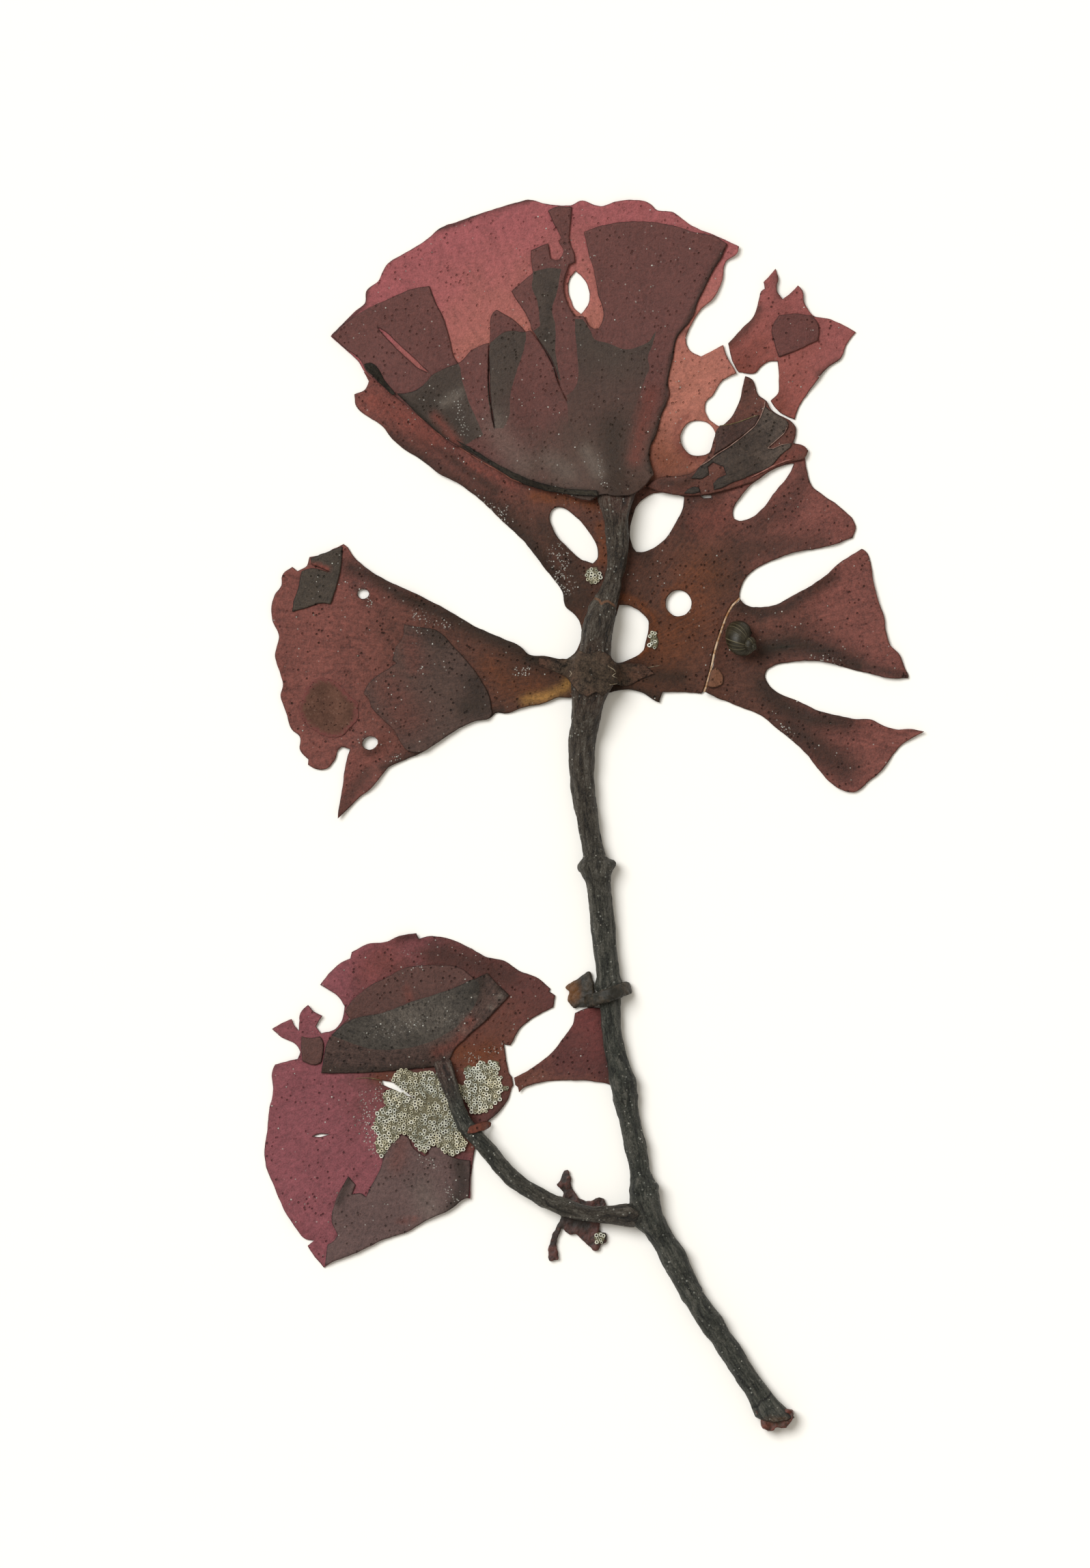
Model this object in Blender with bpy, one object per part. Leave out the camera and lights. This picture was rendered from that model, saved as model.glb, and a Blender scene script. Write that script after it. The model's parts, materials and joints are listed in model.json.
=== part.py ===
"""A pressed and dried Constantinea: forked stipe, three tiers of peltate blades, and what grew on them.

Metres, +Z up. The specimen lies flat on z = 0 with its crown towards +Y. Plan outlines are given in
millimetres, as measured on the specimen, and are turned into metres where a mesh is made.
"""
import math

import bpy
from mathutils import Vector
from mathutils.geometry import tessellate_polygon

for old in list(bpy.data.objects):
    bpy.data.objects.remove(old, do_unlink=True)

# Driving dimensions, in millimetres
MM = 0.001
SHEET = 0.35            # thickness of one dried blade
GAP = 0.30              # air left between two pieces that lie on each other
STEP_UP = SHEET + GAP   # one level of the pile to the next
CENTRE_Y = 0.085        # half the difference between the crown's and the base's distance from y = 0
STIPE_HEIGHT = 0.85     # height of the stipe over its own width
STIPE_TALLEST = 1.9     # and no more than this
CRUST = 0.25            # thickness of an encrusting growth
RISE_FROM, RISE_TO = 5.8, 8.4   # the stipe climbs onto the middle blade between these two y
BRANCH_SIDES = 10
BRANCH_FLATTENED = 0.88         # height of the branch over its own width
HOLDFAST_HEIGHT = 1.3
SNAIL_RADIUS = 1.1
SNAIL_SIDES = 14

LEVEL = [i * STEP_UP for i in range(4)]


def material(name, rgb, roughness=0.6):
    """A Principled material of one colour."""
    mat = bpy.data.materials.new(name)
    mat.use_nodes = True
    shader = mat.node_tree.nodes["Principled BSDF"]
    shader.inputs["Base Color"].default_value = (*rgb, 1.0)
    shader.inputs["Roughness"].default_value = roughness
    shader.inputs["Metallic"].default_value = 0.0
    return mat


PINK = material("single_layer_pink", (0.38, 0.10, 0.11))
WINE = material("single_layer_wine", (0.22, 0.06, 0.08))
BROWN = material("blade_brown", (0.13, 0.045, 0.035))
DOUBLED = material("doubled_blade", (0.13, 0.045, 0.045))
DARK = material("piled_blade", (0.062, 0.052, 0.046))
CHARCOAL = material("stipe_charcoal", (0.035, 0.036, 0.031), 0.7)
RED_BROWN = material("old_remnant", (0.09, 0.03, 0.028))
CRUST_GREY = material("bryozoan_grey", (0.32, 0.33, 0.26), 0.8)
CRUST_BROWN = material("brown_crust", (0.10, 0.045, 0.04), 0.75)
SHELL = material("snail_shell", (0.02, 0.022, 0.018), 0.3)


def add_object(name, points, faces, mat):
    """Make one named mesh object from points in millimetres."""
    mesh = bpy.data.meshes.new(name)
    mesh.from_pydata([Vector((x, y - CENTRE_Y, z)) * MM for x, y, z in points], [], faces)
    mesh.materials.append(mat)
    mesh.validate()
    made = bpy.data.objects.new(name, mesh)
    bpy.context.collection.objects.link(made)
    return made


def area(loop):
    """Signed area of a closed outline: positive when it runs anticlockwise."""
    pairs = zip(loop, loop[1:] + loop[:1])
    return sum(a[0] * b[1] - b[0] * a[1] for a, b in pairs) / 2


def ellipse(centre, radii, turn=0.0, count=16):
    """A closed round outline."""
    c, s = math.cos(math.radians(turn)), math.sin(math.radians(turn))
    loop = []
    for i in range(count):
        angle = 2 * math.pi * i / count
        u, v = radii[0] * math.cos(angle), radii[1] * math.sin(angle)
        loop.append((centre[0] + u * c - v * s, centre[1] + u * s + v * c))
    return loop


def prism(name, outline, holes, low, high, mat):
    """A flat sheet: an outline with holes, between two heights."""
    loops = [outline if area(outline) > 0 else outline[::-1]]
    loops += [hole if area(hole) < 0 else hole[::-1] for hole in holes]
    flat = [point for loop in loops for point in loop]
    count = len(flat)
    points = [(x, y, low) for x, y in flat] + [(x, y, high) for x, y in flat]
    faces = []
    for triangle in tessellate_polygon([[Vector((x, y, 0)) for x, y in loop] for loop in loops]):
        a, b, c = triangle
        if area([flat[a], flat[b], flat[c]]) < 0:
            b, c = c, b
        faces += [(c, b, a), (a + count, b + count, c + count)]
    start = 0
    for loop in loops:
        for i in range(len(loop)):
            a, b = start + i, start + (i + 1) % len(loop)
            faces.append((a, b, b + count, a + count))
        start += len(loop)
    return add_object(name, points, faces, mat)


def blade(name, level, mat, outline, holes=()):
    """One dried blade or lobe at its level of the pile."""
    low = LEVEL[level]
    return prism(name, outline, list(holes), low, low + SHEET, mat)


def crust(name, level, outline, mat=CRUST_GREY):
    """A thin growth lying on a blade."""
    low = LEVEL[level]
    return prism(name, outline, [], low, low + CRUST, mat)


# The middle blade: one peltate disc, torn into an upper left band, a left lobe and a right lobe
MIDDLE = [
    (-17.5, 33.7), (-17.1, 33), (-17.35, 32.4), (-18.2, 32), (-18.1, 31.2), (-17.3, 30.4), (-16.2, 29.7),
    (-15.2, 28.5), (-14.5, 27.9), (-13.2, 27.1), (-12, 26.15), (-10, 25), (-8.2, 23.6), (-6.8, 22.2),
    (-5.3, 20.8), (-4.2, 19.4), (-3.2, 18.1), (-2.4, 17), (-2.2, 15.95), (-1.4, 15.2), (-0.95, 14.2),
    (-1, 13.5), (-1.5, 12.3), (-1.8, 12), (-2.4, 11.92), (-3.6, 12.15), (-4.9, 12.25), (-5.7, 12.95),
    (-7, 13.5), (-8.6, 14.2), (-10.3, 15.15), (-12, 16.1), (-14, 17.1), (-15.8, 17.9), (-17.4, 18.9),
    (-18.3, 19.8), (-18.7, 20.4), (-19, 20.65), (-19.5, 20.4), (-21, 19.75), (-21.6, 19.65),
    (-21.8, 19), (-22.5, 18.6), (-22.9, 18.9), (-23.6, 18.4), (-23.75, 17.5), (-24.3, 16.7),
    (-24.5, 15.5), (-24.35, 14.7), (-23.95, 13.8), (-24.2, 12.1), (-23.8, 10.8), (-23.6, 10),
    (-23.8, 9.2), (-23.4, 8), (-22.95, 6.6), (-22.3, 5.9), (-22.35, 5.1), (-21.65, 4.3), (-21.7, 3.9),
    (-21, 3.55), (-20.3, 3.6), (-19.6, 4.4), (-19.4, 5), (-19.15, 5.25), (-18.5, 5.1), (-18.7, 4.6),
    (-18.9, 3.4), (-19.1, 2.2), (-19.35, 0.8), (-19.45, -0.2), (-18.8, 0.4), (-17.8, 1.4), (-16.9, 2.1),
    (-16.1, 3.1), (-15.6, 3.7), (-14.5, 4.2), (-13.2, 4.75), (-12, 5.5), (-10.5, 6.5), (-9.1, 7.2),
    (-7.8, 7.5), (-7.5, 7.8), (-6.6, 7.8), (-5.5, 8.2), (-4, 8.5), (-2.8, 8.95), (-1.75, 9),
    (1.3, 9.4), (2.2, 9.6), (3.8, 9.3), (4.7, 8.7), (4.95, 8.6), (5.2, 9.4), (6.5, 9.4), (8.1, 9.3),
    (8.35, 10), (8.7, 11.2), (9, 12.6), (9.4, 13.9), (9.85, 15.1), (10.4, 16.1), (10.85, 16.5),
    (11.2, 17.5), (11.6, 18.2), (12.2, 18.7), (13.6, 19.4), (15, 19.95), (16.8, 20.25), (18.4, 20.65),
    (19, 20.9), (19.6, 21.1), (19.85, 22), (19.6, 22.5), (18.6, 23.5), (17.6, 24.2), (16.5, 25.1),
    (16.1, 26.3), (16, 27.2), (15, 27.6), (13.6, 27.4), (11.5, 27), (9.5, 26.3), (7.6, 25.4),
    (6.6, 25.3), (5, 25.4), (3.2, 25.2), (1.2, 25.4), (-1, 26.1), (-3.6, 27), (-6.5, 28.2),
    (-9.4, 29.9), (-12, 31.6), (-14.4, 33),
]
MIDDLE_HOLES = [
    [(-3.4, 22.7), (-3.2, 23.2), (-2.8, 23.45), (-2.4, 23.4), (-1.7, 22.95), (-1, 22.3), (-0.4, 21.6),
     (0, 20.9), (0.25, 20.2), (0.2, 19.5), (-0.1, 19.2), (-1, 19.5), (-2.1, 20.5), (-2.7, 21.1),
     (-3.1, 21.8)],
    [(2.95, 22.8), (3.2, 23.5), (3.8, 24.1), (4.5, 24.45), (5.2, 24.55), (6, 24.45), (6.8, 24.2),
     (6.75, 23.5), (6.1, 22.1), (5.6, 21.3), (5, 20.7), (4.4, 20.3), (3.8, 20.05), (3.2, 20.05),
     (2.95, 20.4)],
    [(1.9, 16), (2.5, 16), (3, 15.8), (3.7, 15.3), (4.1, 14.8), (4.1, 14.2), (3.85, 13), (3.75, 12.6),
     (3.2, 12.15), (2.5, 11.85), (1.8, 11.65), (1.4, 11.75), (1.2, 12.4), (1.2, 13), (1.35, 13.9),
     (1.6, 15)],
    [(15.15, 26.75), (14.9, 26.2), (13.8, 24.7), (12.8, 23.4), (12.2, 22.8), (11.6, 22.5), (11, 22.4),
     (10.6, 22.55), (10.55, 22.8), (10.8, 23.3), (11.5, 24.7), (12.1, 25.2), (12.7, 25.7), (14.1, 26.5),
     (14.8, 26.7)],
    [(8.1, 24.3), (8.9, 24.35), (8.9, 24.15), (8.3, 24.1)],
    ellipse((6.4, 16.15), (0.98, 0.98), count=20),
    ellipse((-17.5, 16.85), (0.45, 0.4), count=10),
    ellipse((-17, 5.55), (0.6, 0.5), turn=20, count=12),
]
blade("middle_blade", 0, BROWN, MIDDLE, MIDDLE_HOLES)
blade("middle_overlap", 1, DARK, [
    (-14.4, 14.55), (-14.6, 13.4), (-15, 12.9), (-15.3, 11.8), (-15, 11.6), (-15.6, 11.2), (-17, 10.2),
    (-17.35, 9.7), (-17.5, 9.3), (-17.1, 8.9), (-16.9, 8.3), (-16.1, 7.4), (-15.2, 6.5), (-14.6, 5.4),
    (-14.2, 5), (-13, 4.9), (-12, 5.5), (-10.5, 6.5), (-9, 7.2), (-8, 7.4), (-7.7, 7.8), (-8, 9.2),
    (-9, 10.9), (-10.7, 12.9), (-12, 14.1), (-13, 14.3),
])
blade("middle_corner_flap", 1, DARK, [
    (-19.1, 20.5), (-19.2, 18.9), (-19.6, 17.2), (-20, 16.1), (-20.9, 16.1), (-21.8, 15.8),
    (-22.9, 15.5), (-22.8, 16.3), (-22.5, 17.1), (-22.2, 18.6), (-21.6, 18.8), (-20, 18.5),
    (-21.5, 19.1), (-21.5, 19.6), (-20.4, 20),
])
crust("brown_crust", 1, ellipse((-20.2, 8.1), (2.1, 2.2), count=22), CRUST_BROWN)
crust("disc_crust_upper", 1, [
    (-0.65, 17.9), (-0.4, 17.5), (0.2, 17.6), (0.25, 18), (0.45, 18.3), (0.45, 18.7), (0, 18.85),
    (-0.5, 18.6),
])
crust("disc_crust_lower", 1, [
    (4.15, 12.8), (4.75, 12.75), (4.85, 13.3), (4.7, 13.9), (4.3, 14.05), (4.25, 13.4),
])

# The part of the middle blade that broke away on the right, with two lobes
blade("broken_right_lobe", 0, BROWN, [
    (11.15, 16.4), (11.4, 16.1), (11.9, 15.9), (12.5, 15.85), (13.6, 16), (15, 16.7), (16.3, 17.5),
    (17.6, 18.3), (18.6, 19.2), (19.8, 19.95), (20.3, 20.25), (20.6, 20.1), (21, 19.2), (21.15, 17.9),
    (21.5, 16.5), (22, 15), (22.2, 13.7), (22.4, 13.1), (23.2, 12.2), (23.6, 11.2), (23.85, 10.6),
    (23.8, 10.45), (22.4, 10.45), (21, 10.8), (19.3, 11.2), (17.8, 11.6), (16.3, 11.8), (14.8, 11.65),
    (13.5, 11.35), (13.1, 11.05), (12.95, 10.7), (13.2, 10), (14.1, 9.3), (15.4, 8.75), (16.8, 8.1),
    (18.2, 7.7), (19.7, 7.4), (21.1, 7.3), (22.2, 6.75), (22.9, 6.6), (24.1, 6.6), (25, 6.4),
    (24, 5.85), (23.1, 5.15), (22.6, 4.5), (21.7, 3.35), (20.8, 2.6), (20.1, 1.95), (19.7, 1.8),
    (18.8, 2), (17.7, 2.7), (16.9, 3.7), (15.8, 5), (14.8, 5.9), (13.8, 6.7), (12.8, 7.55),
    (11.7, 8.05), (10.3, 8.6), (9, 9.1), (8.5, 9.35), (8.75, 10.1), (9.05, 11.2), (9.35, 12.6),
    (9.75, 13.9), (10.2, 15.1), (10.75, 16.05),
])

# The crown: a funnel-shaped blade pressed flat, its back below and its front above, with lobes between
blade("crown_back", 1, PINK, [
    (-20, 36.4), (-19, 37.4), (-17.9, 38.5), (-17.4, 38.9), (-17.3, 39.8), (-16.4, 40.6), (-15.8, 41.75),
    (-14.2, 42.8), (-13, 43.5), (-11.6, 44.65), (-10.1, 45.2), (-9, 45.6), (-7.4, 46.1), (-6, 46.5),
    (-4.8, 46.77), (-3.9, 46.5), (-2.5, 46.33), (-1.8, 46.35), (-0.9, 46.72), (0, 46.35), (0.5, 46.25),
    (1.6, 46.6), (3, 46.75), (4.2, 46.5), (4.7, 46), (6, 45.8), (7.1, 45), (8, 44.5), (9.4, 43.95),
    (10.6, 43.4), (11, 43.2), (10.9, 42.8), (10, 42), (9.7, 40.6), (9.1, 39.3), (8, 38.3), (7.3, 37.1),
    (6.95, 36.2), (7.3, 35.3), (8.1, 34.9), (9.1, 35.4), (9.8, 35.75), (9.95, 35.2), (10.5, 34.1),
    (10.8, 33.6), (10.2, 33.3), (9.6, 32.9), (9, 31.9), (8.5, 31.4), (8.4, 30.9), (8.6, 30.3),
    (9.1, 29.8), (9.9, 29.4), (9.6, 28.4), (9, 27.2), (8.2, 26.2), (7, 25.5), (5.5, 25.2), (4.4, 25.1),
    (3, 24.7), (1.7, 24.3), (0.3, 24.2), (-0.2, 23.85), (-0.9, 23.9), (-2.2, 24.35), (-4.8, 25.05),
    (-6, 25.4), (-7.4, 26.2), (-9.3, 27.3), (-10.4, 28), (-11.6, 28.8), (-13, 30), (-15, 31.7),
    (-16.3, 32.8), (-17.5, 33.8), (-17.8, 34.4), (-19, 35.5),
], [
    ellipse((7.9, 28.65), (1.35, 1.35), count=22),
    [(-1.4, 41.35), (-0.9, 40.9), (-0.5, 40.2), (-0.35, 39.6), (-0.45, 38.9), (-0.75, 38.4),
     (-1, 38.1), (-1.5, 38.55), (-1.8, 39.3), (-1.95, 40.1), (-1.8, 40.8)],
])
blade("crown_left_lobe", 2, DOUBLED, [
    (-19.9, 36.4), (-19, 37.3), (-17.2, 38.5), (-15.6, 39.2), (-13.8, 40), (-12.5, 40.2), (-12, 38.9),
    (-11.4, 37.7), (-10.9, 36), (-10.5, 34.6), (-10.3, 34.35), (-10, 32.9), (-9.5, 31.4), (-8.9, 30),
    (-8.4, 28.9), (-9, 28.6), (-9.9, 28.1), (-10.3, 28), (-11.6, 28.85), (-13, 30.05), (-15, 31.75),
    (-16.3, 32.85), (-17.4, 33.85), (-17.7, 34.5), (-18.9, 35.5),
], [
    [(-16.4, 37.05), (-15.7, 36.6), (-15, 35.95), (-13.5, 34.55), (-12.5, 33.6), (-13.2, 33.9),
     (-14.1, 34.65), (-15.6, 36.1)],
])
blade("crown_tip_lobe", 2, DARK, [
    (-7.9, 36.9), (-7.65, 38.2), (-7.4, 38.4), (-7, 38.2), (-5.8, 37.4), (-5.2, 36.7), (-5.3, 35.6),
    (-5.85, 33.8), (-6.4, 31.5), (-6.4, 30.5), (-6.9, 29.4), (-7.5, 29.4), (-7.9, 30.8), (-8.05, 32),
    (-8.05, 34), (-7.9, 35.8),
])
blade("crown_hidden_tongue", 2, DARK, [
    (-4.6, 41.3), (-3.3, 41.55), (-2.5, 41.5), (-2.9, 39.5), (-3.2, 38.3), (-3, 37.5), (-2.95, 35.5),
    (-2.75, 34), (-2.5, 33), (-2.85, 33.3), (-3.2, 34.3), (-4, 35.7), (-4.6, 36.8), (-4.1, 37.2),
    (-4.15, 38), (-4.3, 39), (-4.7, 40),
])
blade("crown_young_blade", 2, DARK, [
    (-1.45, 37.7), (-0.9, 37.7), (-0.3, 36.8), (0, 36.2), (1, 35.9), (2.5, 35.4), (3.3, 35.6),
    (4, 35.9), (4.7, 36.8), (4.5, 36), (4.05, 34.6), (4.2, 34), (3.9, 33.3), (3.4, 31.8), (2.8, 30.2),
    (2.5, 29.2), (2.3, 28), (2.3, 26), (2, 24.5), (0.6, 24.5), (-0.8, 26.5), (-1.8, 29), (-2.1, 31.9),
    (-1.5, 32.4), (-1.25, 33), (-1.3, 35), (-1.4, 36.5),
])
blade("crown_front", 3, DOUBLED, [
    (-15, 32.05), (-14.2, 32.1), (-13, 32.6), (-12.2, 33.5), (-10.9, 34.1), (-10.3, 34.35),
    (-9.2, 35.4), (-8.6, 35.7), (-8.05, 35.85), (-8.1, 34), (-8.05, 32), (-7.9, 30.8), (-7.55, 29.3),
    (-7.65, 30.8), (-7.8, 32), (-7.85, 34), (-7.75, 35.95), (-7, 36.6), (-6.3, 36.8), (-5.3, 36.75),
    (-4.95, 36.8), (-4.1, 35.6), (-3.6, 34.8), (-3.1, 33.7), (-2.85, 32.8), (-2.5, 32), (-2, 31.35),
    (-2.25, 32.2), (-2.55, 32.95), (-2.8, 33.9), (-3.3, 35), (-4.15, 36.3), (-4.75, 37.1),
    (-5.2, 38.1), (-6, 39.3), (-6.3, 39.8), (-5.5, 40.5), (-4.65, 41.2), (-4.75, 42), (-4.8, 42.9),
    (-3.5, 43.45), (-3.4, 42.9), (-3.3, 42.3), (-2.9, 42.15), (-2.5, 42.15), (-2.35, 42.9), (-2.7, 43.5),
    (-2.5, 43.9), (-3.2, 45.2), (-3.5, 45.9), (-2.9, 46.2), (-1.7, 46.2), (-1.8, 43.4), (-1.5, 42.6),
    (-1.45, 42), (-1.9, 41.8), (-2.3, 40.3), (-2.25, 39.6), (-1.9, 38.6), (-1.5, 37.9), (-0.8, 37.9),
    (-0.1, 37), (0.4, 36.9), (0.7, 38), (0.3, 39.6), (0, 41.2), (-0.4, 42.6), (-0.8, 44.3),
    (0.6, 44.8), (2.3, 45.05), (4, 45.1), (6, 44.8), (7.7, 44.25), (9.2, 43.95), (10.1, 43.4),
    (9.85, 42.8), (8.9, 41.1), (8, 39.3), (7.2, 37.4), (6.4, 36.5), (5.95, 34.6), (5.6, 32.7),
    (5.7, 32), (5.5, 31.3), (5.1, 30.4), (4.6, 28.7), (4.3, 28.1), (4.2, 27.3), (4.5, 25.9),
    (3.9, 25.1), (3, 24.4), (1.7, 24.25), (0.3, 24.3), (-0.2, 23.95), (-0.9, 24), (-2.2, 24.45),
    (-4.8, 25.15), (-6, 25.5), (-7.4, 26.3), (-9.3, 27.4), (-10.4, 28.1), (-11.6, 28.9), (-13, 30.1),
])
blade("crown_folded_lobe", 2, DARK, [
    (11.45, 33.4), (11.9, 33.2), (12.5, 31.9), (13.1, 31.45), (13.3, 31), (13.8, 30.55), (14.5, 30.2),
    (15, 29.9), (15.3, 29.5), (15.3, 28.9), (15.1, 28.3), (16, 28), (16.25, 27.7), (16, 27.2),
    (14.8, 26.8), (13.4, 26.2), (12.2, 25.4), (11, 25), (8.5, 24.4), (6.8, 24.3), (5, 24.6),
    (3.9, 25), (4.9, 25.65), (6.5, 25.8), (7.3, 26), (8.1, 26.6), (8.8, 27.7), (9.3, 29.2),
    (10.5, 30.4), (11, 31.5), (11.35, 33),
])
blade("broken_upper_lobe", 0, PINK, [
    (10.15, 35.85), (11.1, 36.9), (12.1, 37.9), (12.5, 39.2), (12.65, 39.8), (12.95, 40), (12.85, 40.5),
    (13.75, 41.5), (13.95, 40.9), (13.85, 39.8), (14.3, 39.2), (14.95, 39.7), (15.45, 40.25),
    (15.7, 40), (15.95, 39), (16.6, 38), (17.9, 37.7), (19, 37.2), (19.85, 36.7), (19.1, 35.7),
    (18.7, 34.7), (17.8, 34.1), (16.9, 33), (16, 31.8), (15.35, 30.6), (15.2, 30.1), (14.1, 30.6),
    (13.7, 31), (13.4, 31.5), (13.9, 32), (14, 33.2), (13.9, 34.5), (13.2, 34.45), (12.7, 34.1),
    (12.2, 33.6), (10.95, 33.65), (10.5, 34.5),
])
blade("upper_lobe_patch", 1, DARK, [
    (14, 38), (15, 38.1), (16.5, 38), (17, 37.3), (17, 36.1), (16, 35.6), (14, 34.8), (13.7, 35.7),
    (13.5, 37.1),
])

# The side blade on the branch, with a folded lobe, a young blade and its upper lobe, and a small flap
blade("side_blade", 0, WINE, [
    (-20.8, -12.8), (-20, -11.8), (-19, -11), (-18.5, -10.8), (-18.4, -10.3), (-17, -9.65), (-16, -9.6),
    (-14.8, -9.1), (-13.5, -8.9), (-13.3, -9.3), (-12.7, -9.15), (-10.7, -9.4), (-9.4, -10),
    (-8.4, -10.6), (-6.8, -11), (-5.5, -11.8), (-4.4, -12.2), (-3.3, -13.1), (-3.4, -13.3),
    (-2.95, -13.6), (-3.1, -14.5), (-4.9, -15.5), (-5.6, -16.1), (-6.35, -17.4), (-6.85, -17.3),
    (-6.6, -18.9), (-6.35, -19.9), (-6.3, -20.8), (-7.4, -22.6), (-8.1, -23.2), (-9, -25.2),
    (-9.3, -26.85), (-9.4, -29), (-9.9, -29), (-11.1, -29.9), (-12.7, -30.6), (-14, -31.4),
    (-16.1, -32.2), (-18, -33.1), (-19.8, -33.8), (-20.5, -34.25), (-21.3, -33.3), (-21.75, -32.6),
    (-21.25, -32.2), (-21.9, -32.1), (-22.6, -31.3), (-23.5, -29.9), (-24.2, -28.3), (-24.9, -26.5),
    (-25, -25.9), (-24.8, -23.8), (-24.6, -21.9), (-24.35, -20.9), (-24.4, -19.3), (-24.2, -18.85),
    (-22.5, -18.4), (-22.3, -17.9), (-22.6, -17.4), (-23.8, -16.7), (-24.45, -16.15), (-23.85, -15.8),
    (-22.95, -15.4), (-22.7, -15.95), (-22.4, -16.3), (-22.2, -14.8), (-21.7, -14.35), (-21.3, -14.8),
    (-20.6, -15.15), (-21.1, -15.95), (-20.7, -16.45), (-19.6, -16.1), (-19.2, -15.6), (-18.9, -14.4),
    (-19.5, -13.6), (-20.3, -13.1),
], [
    [(-16.1, -20.05), (-15.3, -20.2), (-13.8, -21.3), (-14.6, -21.1), (-15.2, -20.75), (-16, -20.4)],
    [(-21.4, -24.3), (-20.8, -24.1), (-20.1, -24.15), (-20.8, -24.35)],
])
blade("side_folded_lobe", 1, DOUBLED, [
    (-20.45, -34.1), (-20.2, -32.5), (-19.8, -32.3), (-19.45, -31.8), (-19.9, -30.8), (-19.6, -29.15),
    (-19, -27.9), (-18.65, -27.3), (-18.1, -27.95), (-18.4, -28.7), (-17.6, -28.65), (-17.3, -28.9),
    (-16.85, -27.9), (-16.25, -26.9), (-15.9, -25.65), (-14.85, -24.4), (-14.5, -24.2), (-14.1, -24.4),
    (-13.9, -24.9), (-12.9, -25.8), (-12.6, -25.65), (-12.55, -25.15), (-11.8, -25.05), (-11.1, -25.7),
    (-10.2, -26), (-9.4, -26.1), (-9.4, -26.85), (-9.5, -28.95), (-9.9, -29.1), (-11.1, -29.95),
    (-12.7, -30.65), (-14, -31.45), (-16.1, -32.2), (-18, -33.1), (-19.8, -33.8),
])
blade("side_upper_lobe", 1, DOUBLED, [
    (-18.9, -14.8), (-18.6, -14.3), (-17.2, -13), (-15.4, -12.05), (-14.6, -11.6), (-13.4, -11.35),
    (-12.1, -11.3), (-10.1, -11.55), (-9.25, -12.2), (-8.7, -12.8), (-8.7, -13.2), (-9, -14.2),
    (-10.3, -15.8), (-12, -16.9), (-14.2, -17.6), (-16.5, -17.7), (-19, -17), (-20, -16.6),
    (-19.4, -16.1), (-18.6, -15.3),
])
blade("side_young_blade", 2, DARK, [
    (-20.7, -19.5), (-20.5, -18.3), (-20.1, -16.9), (-19.6, -16.3), (-18.5, -15.5), (-16.05, -14.9),
    (-13.6, -14), (-11.1, -13.2), (-9.25, -12.4), (-8.1, -11.9), (-7.4, -12.7), (-6.4, -13.6),
    (-6.9, -14.1), (-8.2, -15.5), (-9.6, -16.7), (-10.7, -17.9), (-11.1, -18.9), (-13.1, -19.1),
    (-15.7, -19.35), (-19, -19.5),
])
blade("side_corner_flap", 1, DARK, [
    (-22.2, -16.7), (-21.6, -16.8), (-20.8, -16.7), (-20.6, -17), (-20.6, -18), (-20.7, -18.7),
    (-21.2, -18.9), (-22.1, -18.6), (-22.2, -17.8),
])
crust("side_crust_left", 1, [
    (-15.2, -19.5), (-12.3, -19.5), (-12, -20.3), (-11.6, -21.3), (-11.2, -22.3), (-10.6, -23.4),
    (-10, -24.4), (-9.7, -25.1), (-10.4, -25.4), (-11.1, -25.2), (-12, -24.6), (-13.1, -25),
    (-14.1, -23.8), (-15, -24), (-15.8, -24.9), (-16.4, -25.4), (-16.6, -24.2), (-16.8, -23.5),
    (-16.5, -22.4), (-15.9, -22), (-15.8, -20.5),
])
crust("side_crust_right", 1, [
    (-9.8, -19.2), (-8.8, -19), (-7.8, -18.8), (-7.2, -19), (-7.1, -20.5), (-6.7, -20.8), (-7, -21.8),
    (-7.5, -22.2), (-8.4, -22.4), (-8.9, -22.4), (-9.4, -21.4), (-9.8, -20.4),
])

# What is left of older blades, on the stipe and on the branch
blade("old_blade_wedge", 0, WINE, [
    (-1.5, -15), (-1.1, -14.9), (0.1, -14.95), (0.25, -16), (0.4, -17), (0.55, -18), (0.7, -19),
    (0.8, -20), (0.8, -20.45), (-0.2, -20.15), (-2, -20.05), (-4, -20.2), (-4.8, -20.4), (-5.3, -20.6),
    (-5.7, -20.95), (-5.95, -19.8), (-5, -19.3), (-3.9, -18.5), (-3, -17.7), (-2.3, -16.8),
    (-1.65, -15.8),
])
blade("branch_remnant", 0, RED_BROWN, [
    (-2.85, -27.9), (-2.6, -27.7), (-2.35, -26.9), (-2, -26.8), (-1.75, -27.5), (-1.8, -27.9),
    (-1.4, -28.6), (-1.2, -29), (-0.7, -29.2), (-0.2, -29.2), (0.4, -28.85), (0.75, -29), (0.9, -29.4),
    (0.8, -30), (0.4, -30.9), (0.4, -31.5), (0.9, -31.6), (1, -31.9), (0.9, -32.3), (0.5, -32.5),
    (0.3, -32.9), (0, -32.95), (-0.8, -32.3), (-1.4, -31.6), (-1.8, -31.75), (-2.2, -31.5),
    (-2.45, -31.2), (-2.75, -32), (-2.85, -32.6), (-2.7, -33.2), (-2.7, -33.6), (-3.4, -33.75),
    (-3.5, -33.4), (-3.5, -32.9), (-3.2, -31.7), (-2.9, -31.2), (-2.6, -30.7), (-2.4, -29.6),
    (-2.3, -28.6),
])
crust("remnant_crust", 1, ellipse((0.4, -31.95), (0.42, 0.42), count=10))

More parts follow.
